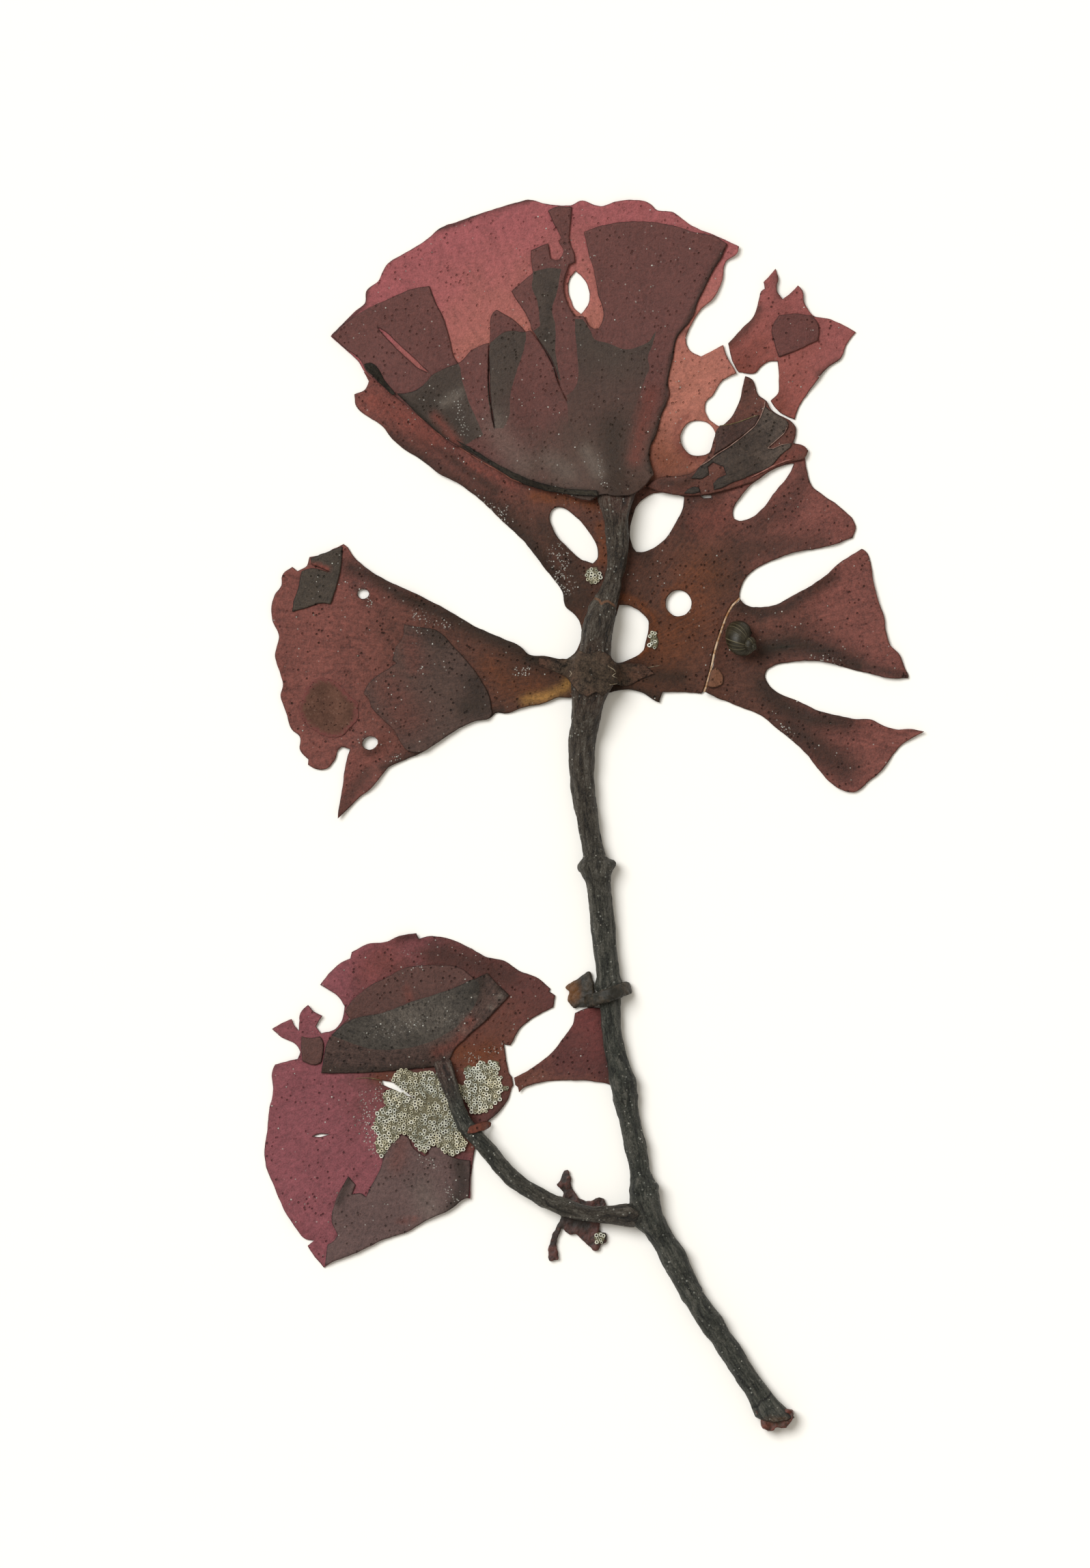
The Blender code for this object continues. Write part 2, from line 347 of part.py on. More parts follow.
# The forked stipe: one grown piece, as rows of y, left edge and right edge down the main stem
STIPE_ROWS = [
    (23.9, 0.7, 2.55), (23, 0.55, 2.6), (22, 0.85, 2.6), (20, 1, 2.6), (19, 0.95, 2.45), (18, 0.8, 2.15),
    (17.5, 0.55, 2.1), (17, 0.35, 2), (16.5, 0, 1.9), (16, -0.3, 1.65), (15, -0.7, 1.6), (14, -0.9, 1.4),
    (13, -1, 1.25), (12, -1.2, 1.2), (11, -1.5, 1.35), (10, -1.8, 1.5), (9, -1.75, 1), (8, -1.75, 0.65),
    (7, -1.8, 0.4), (6, -1.95, 0.15), (4, -1.95, 0), (3, -1.85, -0.05), (2, -1.75, 0.05),
    (1, -1.6, 0.15), (0, -1.4, 0.3), (-1, -1.2, 0.45), (-2, -1, 0.65), (-3, -0.85, 0.95),
    (-3.5, -0.95, 1.5), (-4, -1.05, 1.5), (-4.5, -0.9, 1.3), (-5, -0.7, 1.25), (-6, -0.5, 1.3),
    (-8, -0.35, 1.5), (-10, 0, 1.7), (-12, 0.2, 1.9), (-14.5, 0.4, 2), (-16, 0.55, 2.1),
    (-18, 0.85, 2.4), (-19, 1, 2.75), (-20, 1.1, 3.2), (-21, 1.35, 3.2), (-22, 1.6, 3.3),
    (-23, 1.9, 3.5), (-24, 2.05, 3.7), (-25, 2.3, 4), (-26, 2.55, 4.1), (-27, 2.75, 4.3),
    (-28, 2.75, 4.85), (-29, 2.75, 4.95), (-30, 2.85, 5.15), (-31, 3.2, 5.6), (-32, 4.1, 6.1),
    (-33, 4.8, 6.9), (-34, 5.15, 7.3), (-35, 5.8, 7.75), (-36, 6.3, 8.2), (-37, 6.9, 8.95),
    (-38, 7.5, 9.7), (-39.2, 8.2, 10.3), (-40, 9, 11), (-41, 9.6, 11.6), (-42, 10.2, 12.2),
    (-43, 10.8, 12.9), (-44, 11.6, 13.6), (-44.7, 12, 14.1),
]
# The section across the stipe, with x over half the width and z over the height: flat below, round above
SECTION = [(-0.6, 0), (0.6, 0), (0.92, 0.22), (1, 0.5), (0.82, 0.8), (0.45, 0.96), (0, 1), (-0.45, 0.96),
           (-0.82, 0.8), (-1, 0.5), (-0.92, 0.22)]
# The branch's centre line, each point with the branch's half width there
BRANCH = [
    (3.7, -30.2, 0.7), (2.6, -30.2, 0.75), (1.6, -30.2, 0.66), (0, -30.2, 0.6), (-1.2, -30, 0.6),
    (-2.2, -29.75, 0.62), (-3.2, -29.3, 0.62), (-4.2, -28.75, 0.62), (-5.2, -28.15, 0.62),
    (-6.2, -27.4, 0.62), (-7.2, -26.4, 0.6), (-8, -25.4, 0.6), (-8.8, -24.5, 0.6), (-9.5, -23.75, 0.6),
    (-10, -23, 0.58), (-10.4, -22, 0.56), (-10.75, -21, 0.54), (-11.05, -20.2, 0.5), (-11.2, -19.8, 0.45),
]


def skin(rings):
    """Faces that join equal rings in a row and close both ends."""
    count = len(rings[0])
    points = [point for ring in rings for point in ring]
    faces = [tuple(range(count))[::-1], tuple(range(len(points) - count, len(points)))]
    for row in range(len(rings) - 1):
        for i in range(count):
            a, b = row * count + i, row * count + (i + 1) % count
            faces.append((a, b, b + count, a + count))
    return points, faces


def rise(y):
    """Height of the stipe's underside: on the table below, on the middle blade above."""
    t = min(max((y - RISE_FROM) / (RISE_TO - RISE_FROM), 0), 1)
    return STEP_UP * t * t * (3 - 2 * t)


def main_stem():
    """Rings at the measured rows, from the base up, so that the skin faces outwards."""
    rings = []
    rows = STIPE_ROWS[::-1]
    middles = [(left + right) / 2 for _, left, right in rows]
    for i, (y, left, right) in enumerate(rows):
        a, b = max(i - 1, 0), min(i + 1, len(rows) - 1)
        lean = math.atan2(middles[b] - middles[a], rows[b][0] - rows[a][0])
        half = (right - left) / 2
        height = min(STIPE_HEIGHT * 2 * half * math.cos(lean), STIPE_TALLEST)
        rings.append([(middles[i] + u * half, y, rise(y) + w * height) for u, w in SECTION])
    return add_object("forked_stipe", *skin([ring[::-1] for ring in rings]), CHARCOAL)


def branch_tube():
    """The branch, one level up, because it crosses its old remnant and the side blade."""
    rings = []
    for i, (x, y, half) in enumerate(BRANCH):
        a, b = BRANCH[max(i - 1, 0)], BRANCH[min(i + 1, len(BRANCH) - 1)]
        along = Vector((b[0] - a[0], b[1] - a[1])).normalized()
        across = Vector((-along.y, along.x))
        ring = []
        for k in range(BRANCH_SIDES):
            angle = 2 * math.pi * (k + 0.5) / BRANCH_SIDES
            out = half * math.cos(angle) / math.cos(math.pi / BRANCH_SIDES)
            up = half * BRANCH_FLATTENED * (1 + math.sin(angle) / math.cos(math.pi / BRANCH_SIDES))
            ring.append((x + across.x * out, y + across.y * out, STEP_UP + up))
        rings.append(ring)
    return add_object("branch_tube", *skin(rings), CHARCOAL)


def join_to(keep, other):
    """Grow one solid into another with a union, and leave the other as a guide."""
    union = keep.modifiers.new("union", "BOOLEAN")
    union.operation = "UNION"
    union.solver = "EXACT"
    union.object = other
    other.hide_render = True
    other.display_type = "WIRE"


join_to(main_stem(), branch_tube())

# The holdfast's torn remnant, just off the stipe's lower end
prism("holdfast_remnant", [
    (12.2, -45.05), (12.3, -45.3), (12.6, -45.5), (12.6, -45.9), (12.8, -46.3), (13.2, -46.6),
    (13.6, -46.55), (13.8, -46.35), (14.2, -46.4), (14.7, -46.1), (15, -45.7), (15.15, -45.3), (15, -45),
], [], 0, HOLDFAST_HEIGHT, RED_BROWN)

# The old collar: a torn flap, and the ring of the same old blade that still passes over the stipe
COLLAR_MIDDLE = Vector((1.0, -13.55))
COLLAR_ALONG = Vector((3.4, 1.15)).normalized()
COLLAR_WIDTH = 0.75
COLLAR_INSIDE = (1.45, 1.7)     # half span and height
COLLAR_OUTSIDE = (1.75, 2.0)
COLLAR_STEPS = 10


def half_ellipse(radii):
    """Points from the right foot over the top to the left foot."""
    angles = [math.pi * i / COLLAR_STEPS for i in range(COLLAR_STEPS + 1)]
    return [(radii[0] * math.cos(a), radii[1] * math.sin(a)) for a in angles]


def collar_ring():
    """The arched band over the stipe."""
    across = Vector((-COLLAR_ALONG.y, COLLAR_ALONG.x)) * COLLAR_WIDTH / 2
    rings = []
    for out, inside in zip(half_ellipse(COLLAR_OUTSIDE), half_ellipse(COLLAR_INSIDE)):
        ring = []
        for (u, z), side in ((out, 1), (inside, 1), (inside, -1), (out, -1)):
            spot = COLLAR_MIDDLE + COLLAR_ALONG * u + across * side
            ring.append((spot.x, spot.y, z))
        rings.append(ring)
    return add_object("collar_ring", *skin([ring[::-1] for ring in rings]), RED_BROWN)


old_collar = blade("old_collar", 0, RED_BROWN, [
    (-2.2, -13), (-1.9, -12.7), (-1, -12.2), (-0.4, -11.85), (-0.25, -12.2), (-0.1, -12.8),
    (-0.1, -13.9), (-0.6, -14.4), (-0.9, -14.5), (-1.5, -14.55), (-1.75, -14.3), (-2, -14),
    (-1.9, -13.3),
])
join_to(old_collar, collar_ring())

# The small snail on the broken lobe: a turned shell, with its axis lying down
SNAIL_MIDDLE = Vector((10.95, 13.4))
SNAIL_AXIS = Vector((1.25, -0.9)).normalized()
# Distance along the axis and radius, from the base of the last whorl to the apex, over the shell's radius
SNAIL_PROFILE = [(-0.9, 0.5), (-0.62, 0.82), (-0.15, 1), (0.25, 0.93), (0.46, 0.76), (0.52, 0.64),
                 (0.8, 0.54), (0.92, 0.4), (0.98, 0.32), (1.2, 0.18)]
SNAIL_ENDS = (-1.05, 1.32)


def snail():
    """Rings around the lying axis, with a point at each end."""
    across = Vector((-SNAIL_AXIS.y, SNAIL_AXIS.x))
    middle_z = LEVEL[1] + SNAIL_RADIUS

    def place(t, radius, angle):
        spot = SNAIL_MIDDLE + SNAIL_AXIS * t * SNAIL_RADIUS
        spot += across * radius * math.cos(angle) * SNAIL_RADIUS
        return (spot.x, spot.y, middle_z + radius * math.sin(angle) * SNAIL_RADIUS)

    rings = []
    for t, radius in SNAIL_PROFILE:
        rings.append([place(t, radius, 2 * math.pi * k / SNAIL_SIDES) for k in range(SNAIL_SIDES)])
    points, faces = skin(rings)
    faces = faces[2:]
    last = len(points) - SNAIL_SIDES
    points += [place(t, 0, 0) for t in SNAIL_ENDS]
    for i in range(SNAIL_SIDES):
        j = (i + 1) % SNAIL_SIDES
        faces.append((j, i, len(points) - 2))
        faces.append((last + i, last + j, len(points) - 1))
    return add_object("snail_shell", points, faces, SHELL)


snail()
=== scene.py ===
# %% [markdown]
# A pressed seaweed, made to be looked at from above
# The specimen is a red alga that was floated onto a sheet, pressed and dried. Its blades are thin sheets
# that lie over each other, and each sheet lets a little light through: where two or three lie on top of
# one another the colour goes from pink to wine, then to a greenish grey. The construction model, called
# the frame here, holds every piece at its place and size, as flat plates. This script keeps those
# outlines and makes the real surfaces: draped sheets, a fibrous stipe, crusts of tiny cells and a snail.

# %% The frame and its box
import json
import math

import bmesh
import bpy
import numpy as np
from mathutils import Matrix, Vector
from mathutils.geometry import delaunay_2d_cdt

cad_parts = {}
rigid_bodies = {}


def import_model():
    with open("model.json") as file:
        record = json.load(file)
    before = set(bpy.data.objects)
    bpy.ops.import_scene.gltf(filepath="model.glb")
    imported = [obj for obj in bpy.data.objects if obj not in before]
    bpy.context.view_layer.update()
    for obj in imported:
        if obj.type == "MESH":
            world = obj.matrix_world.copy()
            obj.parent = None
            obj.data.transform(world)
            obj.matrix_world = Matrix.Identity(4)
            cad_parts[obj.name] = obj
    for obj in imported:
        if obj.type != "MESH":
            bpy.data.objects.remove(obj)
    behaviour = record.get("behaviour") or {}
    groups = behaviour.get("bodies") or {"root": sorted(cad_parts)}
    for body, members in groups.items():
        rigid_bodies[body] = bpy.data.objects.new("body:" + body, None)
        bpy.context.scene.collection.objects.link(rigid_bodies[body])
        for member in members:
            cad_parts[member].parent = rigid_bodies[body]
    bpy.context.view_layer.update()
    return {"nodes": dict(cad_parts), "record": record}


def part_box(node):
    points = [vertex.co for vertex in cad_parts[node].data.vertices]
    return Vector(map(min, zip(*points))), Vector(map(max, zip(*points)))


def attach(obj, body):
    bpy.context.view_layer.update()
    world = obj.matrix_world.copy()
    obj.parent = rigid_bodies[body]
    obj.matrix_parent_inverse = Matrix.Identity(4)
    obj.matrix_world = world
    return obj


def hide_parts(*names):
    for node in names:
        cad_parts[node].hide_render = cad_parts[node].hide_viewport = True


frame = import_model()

MM = 0.001

# %% [markdown]
# The camera and the light
# The specimen was recorded from straight above, so the camera stands one metre up and looks down, with
# a long lens that keeps all upright lines nearly parallel. The light is soft and comes from the upper
# left, and the shadows are narrow and warm, because the pale surface throws its own tint back under the
# blades. A wide lamp gives the soft direction, and a pale surround fills the shadows.

# %% Camera
PHOTO_SIZE = (1596, 2296)
PIXELS_PER_MM = 19.3
PICTURE_CENTRE = (-3.73, 2.35)     # mm, in the frame
CAMERA_HEIGHT = 1.0
SENSOR = 36.0


def add_camera():
    half_height = PHOTO_SIZE[1] / PIXELS_PER_MM / 2 * MM
    data = bpy.data.cameras.new("camera")
    data.sensor_width = SENSOR
    data.lens = SENSOR / 2 * CAMERA_HEIGHT / half_height
    data.clip_start = 0.01
    data.clip_end = 10
    camera = bpy.data.objects.new("camera", data)
    camera.location = (PICTURE_CENTRE[0] * MM, PICTURE_CENTRE[1] * MM, CAMERA_HEIGHT)
    bpy.context.scene.collection.objects.link(camera)
    bpy.context.scene.camera = camera
    return data


print("lens in mm:", round(add_camera().lens, 1))

# %% Floor and light
KEY_ENERGY = 2.76
KEY_SPREAD = 34                 # degrees, the sun disc's width: wide makes soft shadows
KEY_DIRECTION = (0.55, -0.42, -1.0)
KEY_COLOR = (0.96, 0.985, 1.0)
FILL_COLOR = (1.0, 0.955, 0.86)
FILL_STRENGTH = 0.505
FLOOR_COLOR = (0.93, 0.9, 0.85)   # cream: it turns white in full light and shows in the shadows
FLOOR_HALF = 0.6


def add_floor():
    mesh = bpy.data.meshes.new("floor")
    corners = [(-FLOOR_HALF, -FLOOR_HALF), (FLOOR_HALF, -FLOOR_HALF), (FLOOR_HALF, FLOOR_HALF),
               (-FLOOR_HALF, FLOOR_HALF)]
    mesh.from_pydata([(x, y, -0.02 * MM) for x, y in corners], [], [(0, 1, 2, 3)])
    floor = bpy.data.objects.new("floor", mesh)
    bpy.context.scene.collection.objects.link(floor)
    paint = bpy.data.materials.new("pale_floor")
    paint.use_nodes = True
    shader = paint.node_tree.nodes["Principled BSDF"]
    shader.inputs["Base Color"].default_value = (*FLOOR_COLOR, 1)
    shader.inputs["Roughness"].default_value = 0.9
    shader.inputs["Specular IOR Level"].default_value = 0.1
    mesh.materials.append(paint)


def add_light():
    sun = bpy.data.lights.new("key", "SUN")
    sun.energy = KEY_ENERGY
    sun.angle = math.radians(KEY_SPREAD)
    sun.color = KEY_COLOR
    lamp = bpy.data.objects.new("key", sun)
    lamp.rotation_euler = Vector(KEY_DIRECTION).to_track_quat("-Z", "Y").to_euler()
    bpy.context.scene.collection.objects.link(lamp)
    world = bpy.data.worlds.new("surround")
    world.use_nodes = True
    background = world.node_tree.nodes["Background"]
    background.inputs["Color"].default_value = (*FILL_COLOR, 1)
    background.inputs["Strength"].default_value = FILL_STRENGTH
    bpy.context.scene.world = world
    bpy.context.scene.view_settings.view_transform = "Standard"


add_floor()
add_light()
print("key from", KEY_DIRECTION, "fill", FILL_STRENGTH)

# %% [markdown]
# Shader maths in plain expressions
# A finish is arithmetic on patterns: a mottle times a mask, plus a rim. Writing it as node after node
# hides the thought, so a small class wraps a socket and lets Python's own operators add the Math nodes.
# Colours never go through a Math node, which would turn them grey: they are mixed by a Mix node.

# %% A socket that can be added, multiplied and compared
OPERATIONS = {"add": "ADD", "sub": "SUBTRACT", "mul": "MULTIPLY", "truediv": "DIVIDE", "gt": "GREATER_THAN"}


class Value:
    """One output socket of a node tree."""

    def __init__(self, graph, socket):
        self.graph = graph
        self.socket = socket

    def clamp(self):
        return self.graph.node("ShaderNodeClamp", Value=self)

    def ramp(self, low, high, smooth=True):
        """From 0 at low to 1 at high."""
        kind = "SMOOTHSTEP" if smooth else "LINEAR"
        return self.graph.node("ShaderNodeMapRange", settings={"interpolation_type": kind}, Value=self,
                               From_Min=low, From_Max=high)

    def __neg__(self):
        return self * -1.0


def _forward(operation):
    return lambda self, other: self.graph.math(operation, self, other)


def _reflected(operation):
    return lambda self, other: self.graph.math(operation, other, self)


for word, operation in OPERATIONS.items():
    setattr(Value, f"__{word}__", _forward(operation))
    if word != "gt":
        setattr(Value, f"__r{word}__", _reflected(operation))

# %% Nodes on demand
class Graph:
    """A node tree under construction, of a material or of a shape."""

    def __init__(self, tree):
        self.nodes = tree.nodes
        self.links = tree.links

    def join(self, target, source):
        if isinstance(source, Value):
            self.links.new(source.socket, target)
        elif isinstance(source, tuple) and target.type == "RGBA":
            target.default_value = (*source[:3], 1.0)
        else:
            target.default_value = source

    def node(self, kind, settings=None, output=0, slots=None, **values):
        """Any node: its settings first, then the values or links of its sockets, by name or number."""
        made = self.nodes.new(kind)
        for key, value in (settings or {}).items():
            setattr(made, key, value)
        for key, value in values.items():
            self.join(made.inputs[key.replace("_", " ")], value)
        for number, value in (slots or {}).items():
            self.join(made.inputs[number], value)
        return Value(self, made.outputs[output])

    def math(self, operation, a, b):
        return self.node("ShaderNodeMath", settings={"operation": operation}, slots={0: a, 1: b})

    def stretch(self, vector, factors):
        return self.node("ShaderNodeVectorMath", settings={"operation": "MULTIPLY"},
                         slots={0: vector, 1: factors})

    def noise(self, vector, scale, detail=3.0, roughness=0.55):
        return self.node("ShaderNodeTexNoise", Vector=vector, Scale=scale, Detail=detail,
                         Roughness=roughness)

    def cells(self, vector, scale, feature="F1"):
        return self.node("ShaderNodeTexVoronoi", settings={"feature": feature}, Vector=vector, Scale=scale)

# %% A material that is built from patterns
class Finish(Graph):
    """A Principled material under construction."""

    def __init__(self, name):
        self.material = bpy.data.materials.new(name)
        self.material.use_nodes = True
        super().__init__(self.material.node_tree)
        self.shader = self.nodes["Principled BSDF"]

    def mix(self, factor, a, b):
        """Colour a where the factor is 0, colour b where it is 1."""
        settings = {"data_type": "RGBA", "clamp_factor": True}
        return self.node("ShaderNodeMix", settings=settings, output=2, slots={0: factor, 6: a, 7: b})

    def coats(self, color, *coats):
        """The colour under these coats: each is a mask and the sRGB colour that it brings."""
        for mask, coat in coats:
            color = self.mix(mask, color, seen(*coat))
        return color

    def attribute(self, name, vector=False):
        return self.node("ShaderNodeAttribute", settings={"attribute_name": name}, output=1 if vector else 2)

    def place(self):
        """Object coordinates in millimetres."""
        raw = self.node("ShaderNodeTexCoord", output=3)
        return self.stretch(raw, (1 / MM, 1 / MM, 1 / MM))

    def spot(self, centre, radii, soft, wobble):
        """A round mask around a point in millimetres: 1 inside, 0 outside, with an uneven border."""
        moved = self.node("ShaderNodeVectorMath", settings={"operation": "SUBTRACT"},
                          slots={0: self.place(), 1: (centre[0], centre[1], 0.0)})
        scaled = self.stretch(moved, (1 / radii[0], 1 / radii[1], 0.0))
        length = self.node("ShaderNodeVectorMath", settings={"operation": "LENGTH"}, output=1,
                           slots={0: scaled})
        return 1 - (length + wobble).ramp(1 - soft / 2, 1 + soft / 2)

    def bump(self, height, distance, strength):
        made = self.node("ShaderNodeBump", Height=height, Distance=distance, Strength=strength)
        self.links.new(made.socket, self.shader.inputs["Normal"])

    def finish(self, color, roughness, specular):
        self.join(self.shader.inputs["Base Color"], color)
        self.join(self.shader.inputs["Roughness"], roughness)
        self.shader.inputs["Specular IOR Level"].default_value = specular
        return self.material


SHEEN = 0.015                   # the share of white light that a surface's gloss adds
LIGHT_GAIN = 1.19               # how bright this light makes a white surface


def seen(red, green, blue):
    """The base colour that looks like this sRGB colour, 0 to 255, under this scene's light."""
    linear = []
    for value in (red, green, blue):
        value /= 255
        value = value / 12.92 if value <= 0.04045 else ((value + 0.055) / 1.055) ** 2.4
        linear.append(max(value - SHEEN, 0.003) / LIGHT_GAIN)
    return tuple(linear)


print("shader helpers ready")

# %% [markdown]
# Geometry Nodes from a script
# Wrinkles, crust cells and salt grains repeat or follow a surface, so Geometry Nodes make them. Each tree
# names its inputs, so that the same tree can be used on another piece with other numbers. The values are
# given to the modifier before it runs, its result becomes a plain mesh, and the modifier is taken away.

# %% A shape that grows on another
class Growth(Graph):
    """A Geometry Nodes tree with named inputs, run once on a base object."""

    def __init__(self, name):
        self.tree = bpy.data.node_groups.new(name, "GeometryNodeTree")
        super().__init__(self.tree)
        self.entry = self.nodes.new("NodeGroupInput")
        self.inputs = {}
        self.tree.interface.new_socket("Geometry", in_out="OUTPUT", socket_type="NodeSocketGeometry")
        self.base = self.input("Geometry", "Geometry")

    def input(self, name, kind):
        socket = self.tree.interface.new_socket(name, in_out="INPUT", socket_type="NodeSocket" + kind)
        self.inputs[name] = socket.identifier
        return Value(self, self.entry.outputs[name])

    def stored(self, name, kind="FLOAT"):
        return self.node("GeometryNodeInputNamedAttribute", settings={"data_type": kind}, Name=name)

    def upward(self):
        """The z of the surface's normal."""
        return self.node("ShaderNodeSeparateXYZ", output=2, slots={0: self.node("GeometryNodeInputNormal")})

    def random(self, low, high, seed):
        return self.node("FunctionNodeRandomValue", output=1, Seed=seed, slots={2: low, 3: high})

    def random_turn(self, low, high, seed):
        return self.node("FunctionNodeRandomValue", settings={"data_type": "FLOAT_VECTOR"}, Seed=seed,
                         slots={0: low, 1: high})

    def scattered(self, **values):
        """Points on the base, with a least distance between them."""
        return self.node("GeometryNodeDistributePointsOnFaces", settings={"distribute_method": "POISSON"},
                         Mesh=self.base, **values)

    def end(self, geometry):
        """Realised instances and one material, which is the tree's last input."""
        plain = self.node("GeometryNodeRealizeInstances", Geometry=geometry)
        painted = self.node("GeometryNodeSetMaterial", Geometry=plain,
                            Material=self.input("Material", "Material"))
        self.links.new(painted.socket, self.nodes.new("NodeGroupOutput").inputs["Geometry"])

    def run(self, base, **values):
        """The plain mesh that the tree makes of a base object with these inputs."""
        modifier = base.modifiers.new(self.tree.name, "NODES")
        modifier.node_group = self.tree
        for name, value in values.items():
            modifier[self.inputs[name.replace("_", " ")]] = value
        mesh = applied(base)
        base.modifiers.remove(modifier)
        return mesh


def applied(thing):
    """What an object's modifiers make of it, as a new plain mesh."""
    bpy.context.view_layer.update()
    return bpy.data.meshes.new_from_object(thing.evaluated_get(bpy.context.evaluated_depsgraph_get()))


def place_object(name, mesh):
    thing = bpy.data.objects.new(name, mesh)
    bpy.context.scene.collection.objects.link(thing)
    return thing


SLOT_OF = {part["node"]: part["material_slot"] for part in frame["record"]["subparts"]}


def declare(piece, *nodes, slot=None):
    """The piece rides with the specimen and stands for these nodes of the frame."""
    if nodes:
        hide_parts(*nodes)
    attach(piece, "root")


print("slots:", sorted(set(SLOT_OF.values())))

# %% [markdown]
# Outlines taken back from the frame
# Each plate in the frame has a flat upper face, and its rim is the blade's outline with its holes. The
# rim is read from the mesh, so no outline is written down twice. The frame keeps only the points that
# the shape needs: a curve through them gives the smooth run, and sharp points stay sharp, because a torn
# blade has both.

# %% The rim of a plate
def plan_loops(node):
    """Closed outlines of a plate's upper face, in millimetres: the outer one anticlockwise, first."""
    mesh = bmesh.new()
    mesh.from_mesh(frame["nodes"][node].data)
    bmesh.ops.remove_doubles(mesh, verts=mesh.verts, dist=1e-6)
    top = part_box(node)[1][2] - 1e-6
    follow = {}
    for face in mesh.faces:
        if face.normal.z < 0.9 or min(v.co.z for v in face.verts) < top:
            continue
        for loop in face.loops:
            other = loop.link_loop_radial_next.face
            if other.normal.z < 0.9:
                follow[loop.vert.index] = loop.link_loop_next.vert.index
    spots = {v.index: (v.co.x / MM, v.co.y / MM) for v in mesh.verts}
    mesh.free()
    loops = []
    while follow:
        start = here = next(iter(follow))
        loop = []
        while here in follow:
            loop.append(spots[here])
            here = follow.pop(here)
        if here == start and len(loop) > 2:
            loops.append(np.array(loop))
    return sorted(loops, key=lambda loop: -abs(signed_area(loop)))


def signed_area(loop):
    x, y = loop[:, 0], loop[:, 1]
    return float(np.sum(x * np.roll(y, -1) - np.roll(x, -1) * y) / 2)


print("rims of the middle blade:", [len(loop) for loop in plan_loops("middle_blade")])

# %% Heights that look random and are the same each run
def value_noise(x, y, size, seed):
    """Smooth random heights from -1 to 1, with bumps of about this size."""
    u, v = np.asarray(x) / size, np.asarray(y) / size
    i, j = np.floor(u), np.floor(v)
    fu, fv = u - i, v - j
    fu, fv = fu * fu * (3 - 2 * fu), fv * fv * (3 - 2 * fv)

    def corner(a, b):
        h = np.sin(a * 127.1 + b * 311.7 + seed * 74.7) * 43758.5453
        return 2 * (h - np.floor(h)) - 1

    low = corner(i, j) * (1 - fu) + corner(i + 1, j) * fu
    high = corner(i, j + 1) * (1 - fu) + corner(i + 1, j + 1) * fu
    return low * (1 - fv) + high * fv


def rough_noise(x, y, size, seed):
    """Bumps of this size with finer ones on them."""
    return (value_noise(x, y, size, seed) + value_noise(x, y, size / 2, seed + 13) / 2) / 1.5

# %% A curve through the outline's points, with torn margins
CORNER = math.radians(48)       # a turn sharper than this stays sharp
RIM_SPACING = 0.2               # mm between points along a margin
TEAR = 0.035                    # mm, how far a margin is frayed


def rounded(loop):
    """A dense outline: smooth through the points, and straight into and out of each sharp one."""
    before, after = np.roll(loop, 1, 0), np.roll(loop, -1, 0)
    d0, d1 = loop - before, after - loop
    n0, n1 = np.linalg.norm(d0, axis=1), np.linalg.norm(d1, axis=1)
    turn = np.arccos(np.clip(np.sum(d0 * d1, 1) / (n0 * n1), -1, 1))
    tangent = (d0 / n0[:, None] * n1[:, None] + d1 / n1[:, None] * n0[:, None]) / (n0 + n1)[:, None]
    dense = []
    for i in range(len(loop)):
        j = (i + 1) % len(loop)
        a, b, length = loop[i], loop[j], n1[i]
        straight = (b - a) / length
        ta = straight if turn[i] > CORNER else tangent[i]
        tb = straight if turn[j] > CORNER else tangent[j]
        count = max(1, round(length / RIM_SPACING))
        for k in range(count):
            t = k / count
            h1, h2 = 2 * t ** 3 - 3 * t ** 2 + 1, -2 * t ** 3 + 3 * t ** 2
            h3, h4 = t ** 3 - 2 * t ** 2 + t, t ** 3 - t ** 2
            dense.append(a * h1 + b * h2 + (ta * h3 + tb * h4) * length)
    return np.array(dense)


def outward(loop):
    """The way out of the outline at each of its points."""
    along = np.roll(loop, -1, 0) - np.roll(loop, 1, 0)
    return np.stack([along[:, 1], -along[:, 0]], 1) / np.linalg.norm(along, axis=1)[:, None]


def frayed(loop, seed, depth=TEAR):
    """The outline with its small irregular tears."""
    fine = rough_noise(*loop.T, 0.9, seed) + 0.6 * value_noise(*loop.T, 0.3, seed + 5)
    return loop + outward(loop) * (depth * fine)[:, None]

# %% Inside, and how far from the margin
def inside(points, loops):
    """Whether each point lies in the area that the loops enclose, holes left out."""
    odd = np.zeros(len(points), bool)
    x, y = points[:, 0], points[:, 1]
    for loop in loops:
        for (x0, y0), (x1, y1) in zip(loop, np.roll(loop, -1, 0)):
            if y0 != y1:
                crossed = (y0 > y) != (y1 > y)
                odd ^= crossed & (x < (x1 - x0) * (y - y0) / (y1 - y0) + x0)
    return odd


def margin_distance(points, loops):
    """Distance from each point to the nearest margin, in millimetres."""
    nearest = np.full(len(points), 1e9)
    for loop in loops:
        for a, b in zip(loop, np.roll(loop, -1, 0)):
            along = b - a
            t = np.clip((points - a) @ along / max(float(along @ along), 1e-12), 0, 1)
            gap = points - (a + t[:, None] * along)
            np.minimum(nearest, np.einsum("ij,ij->i", gap, gap), out=nearest)
    return np.sqrt(nearest)

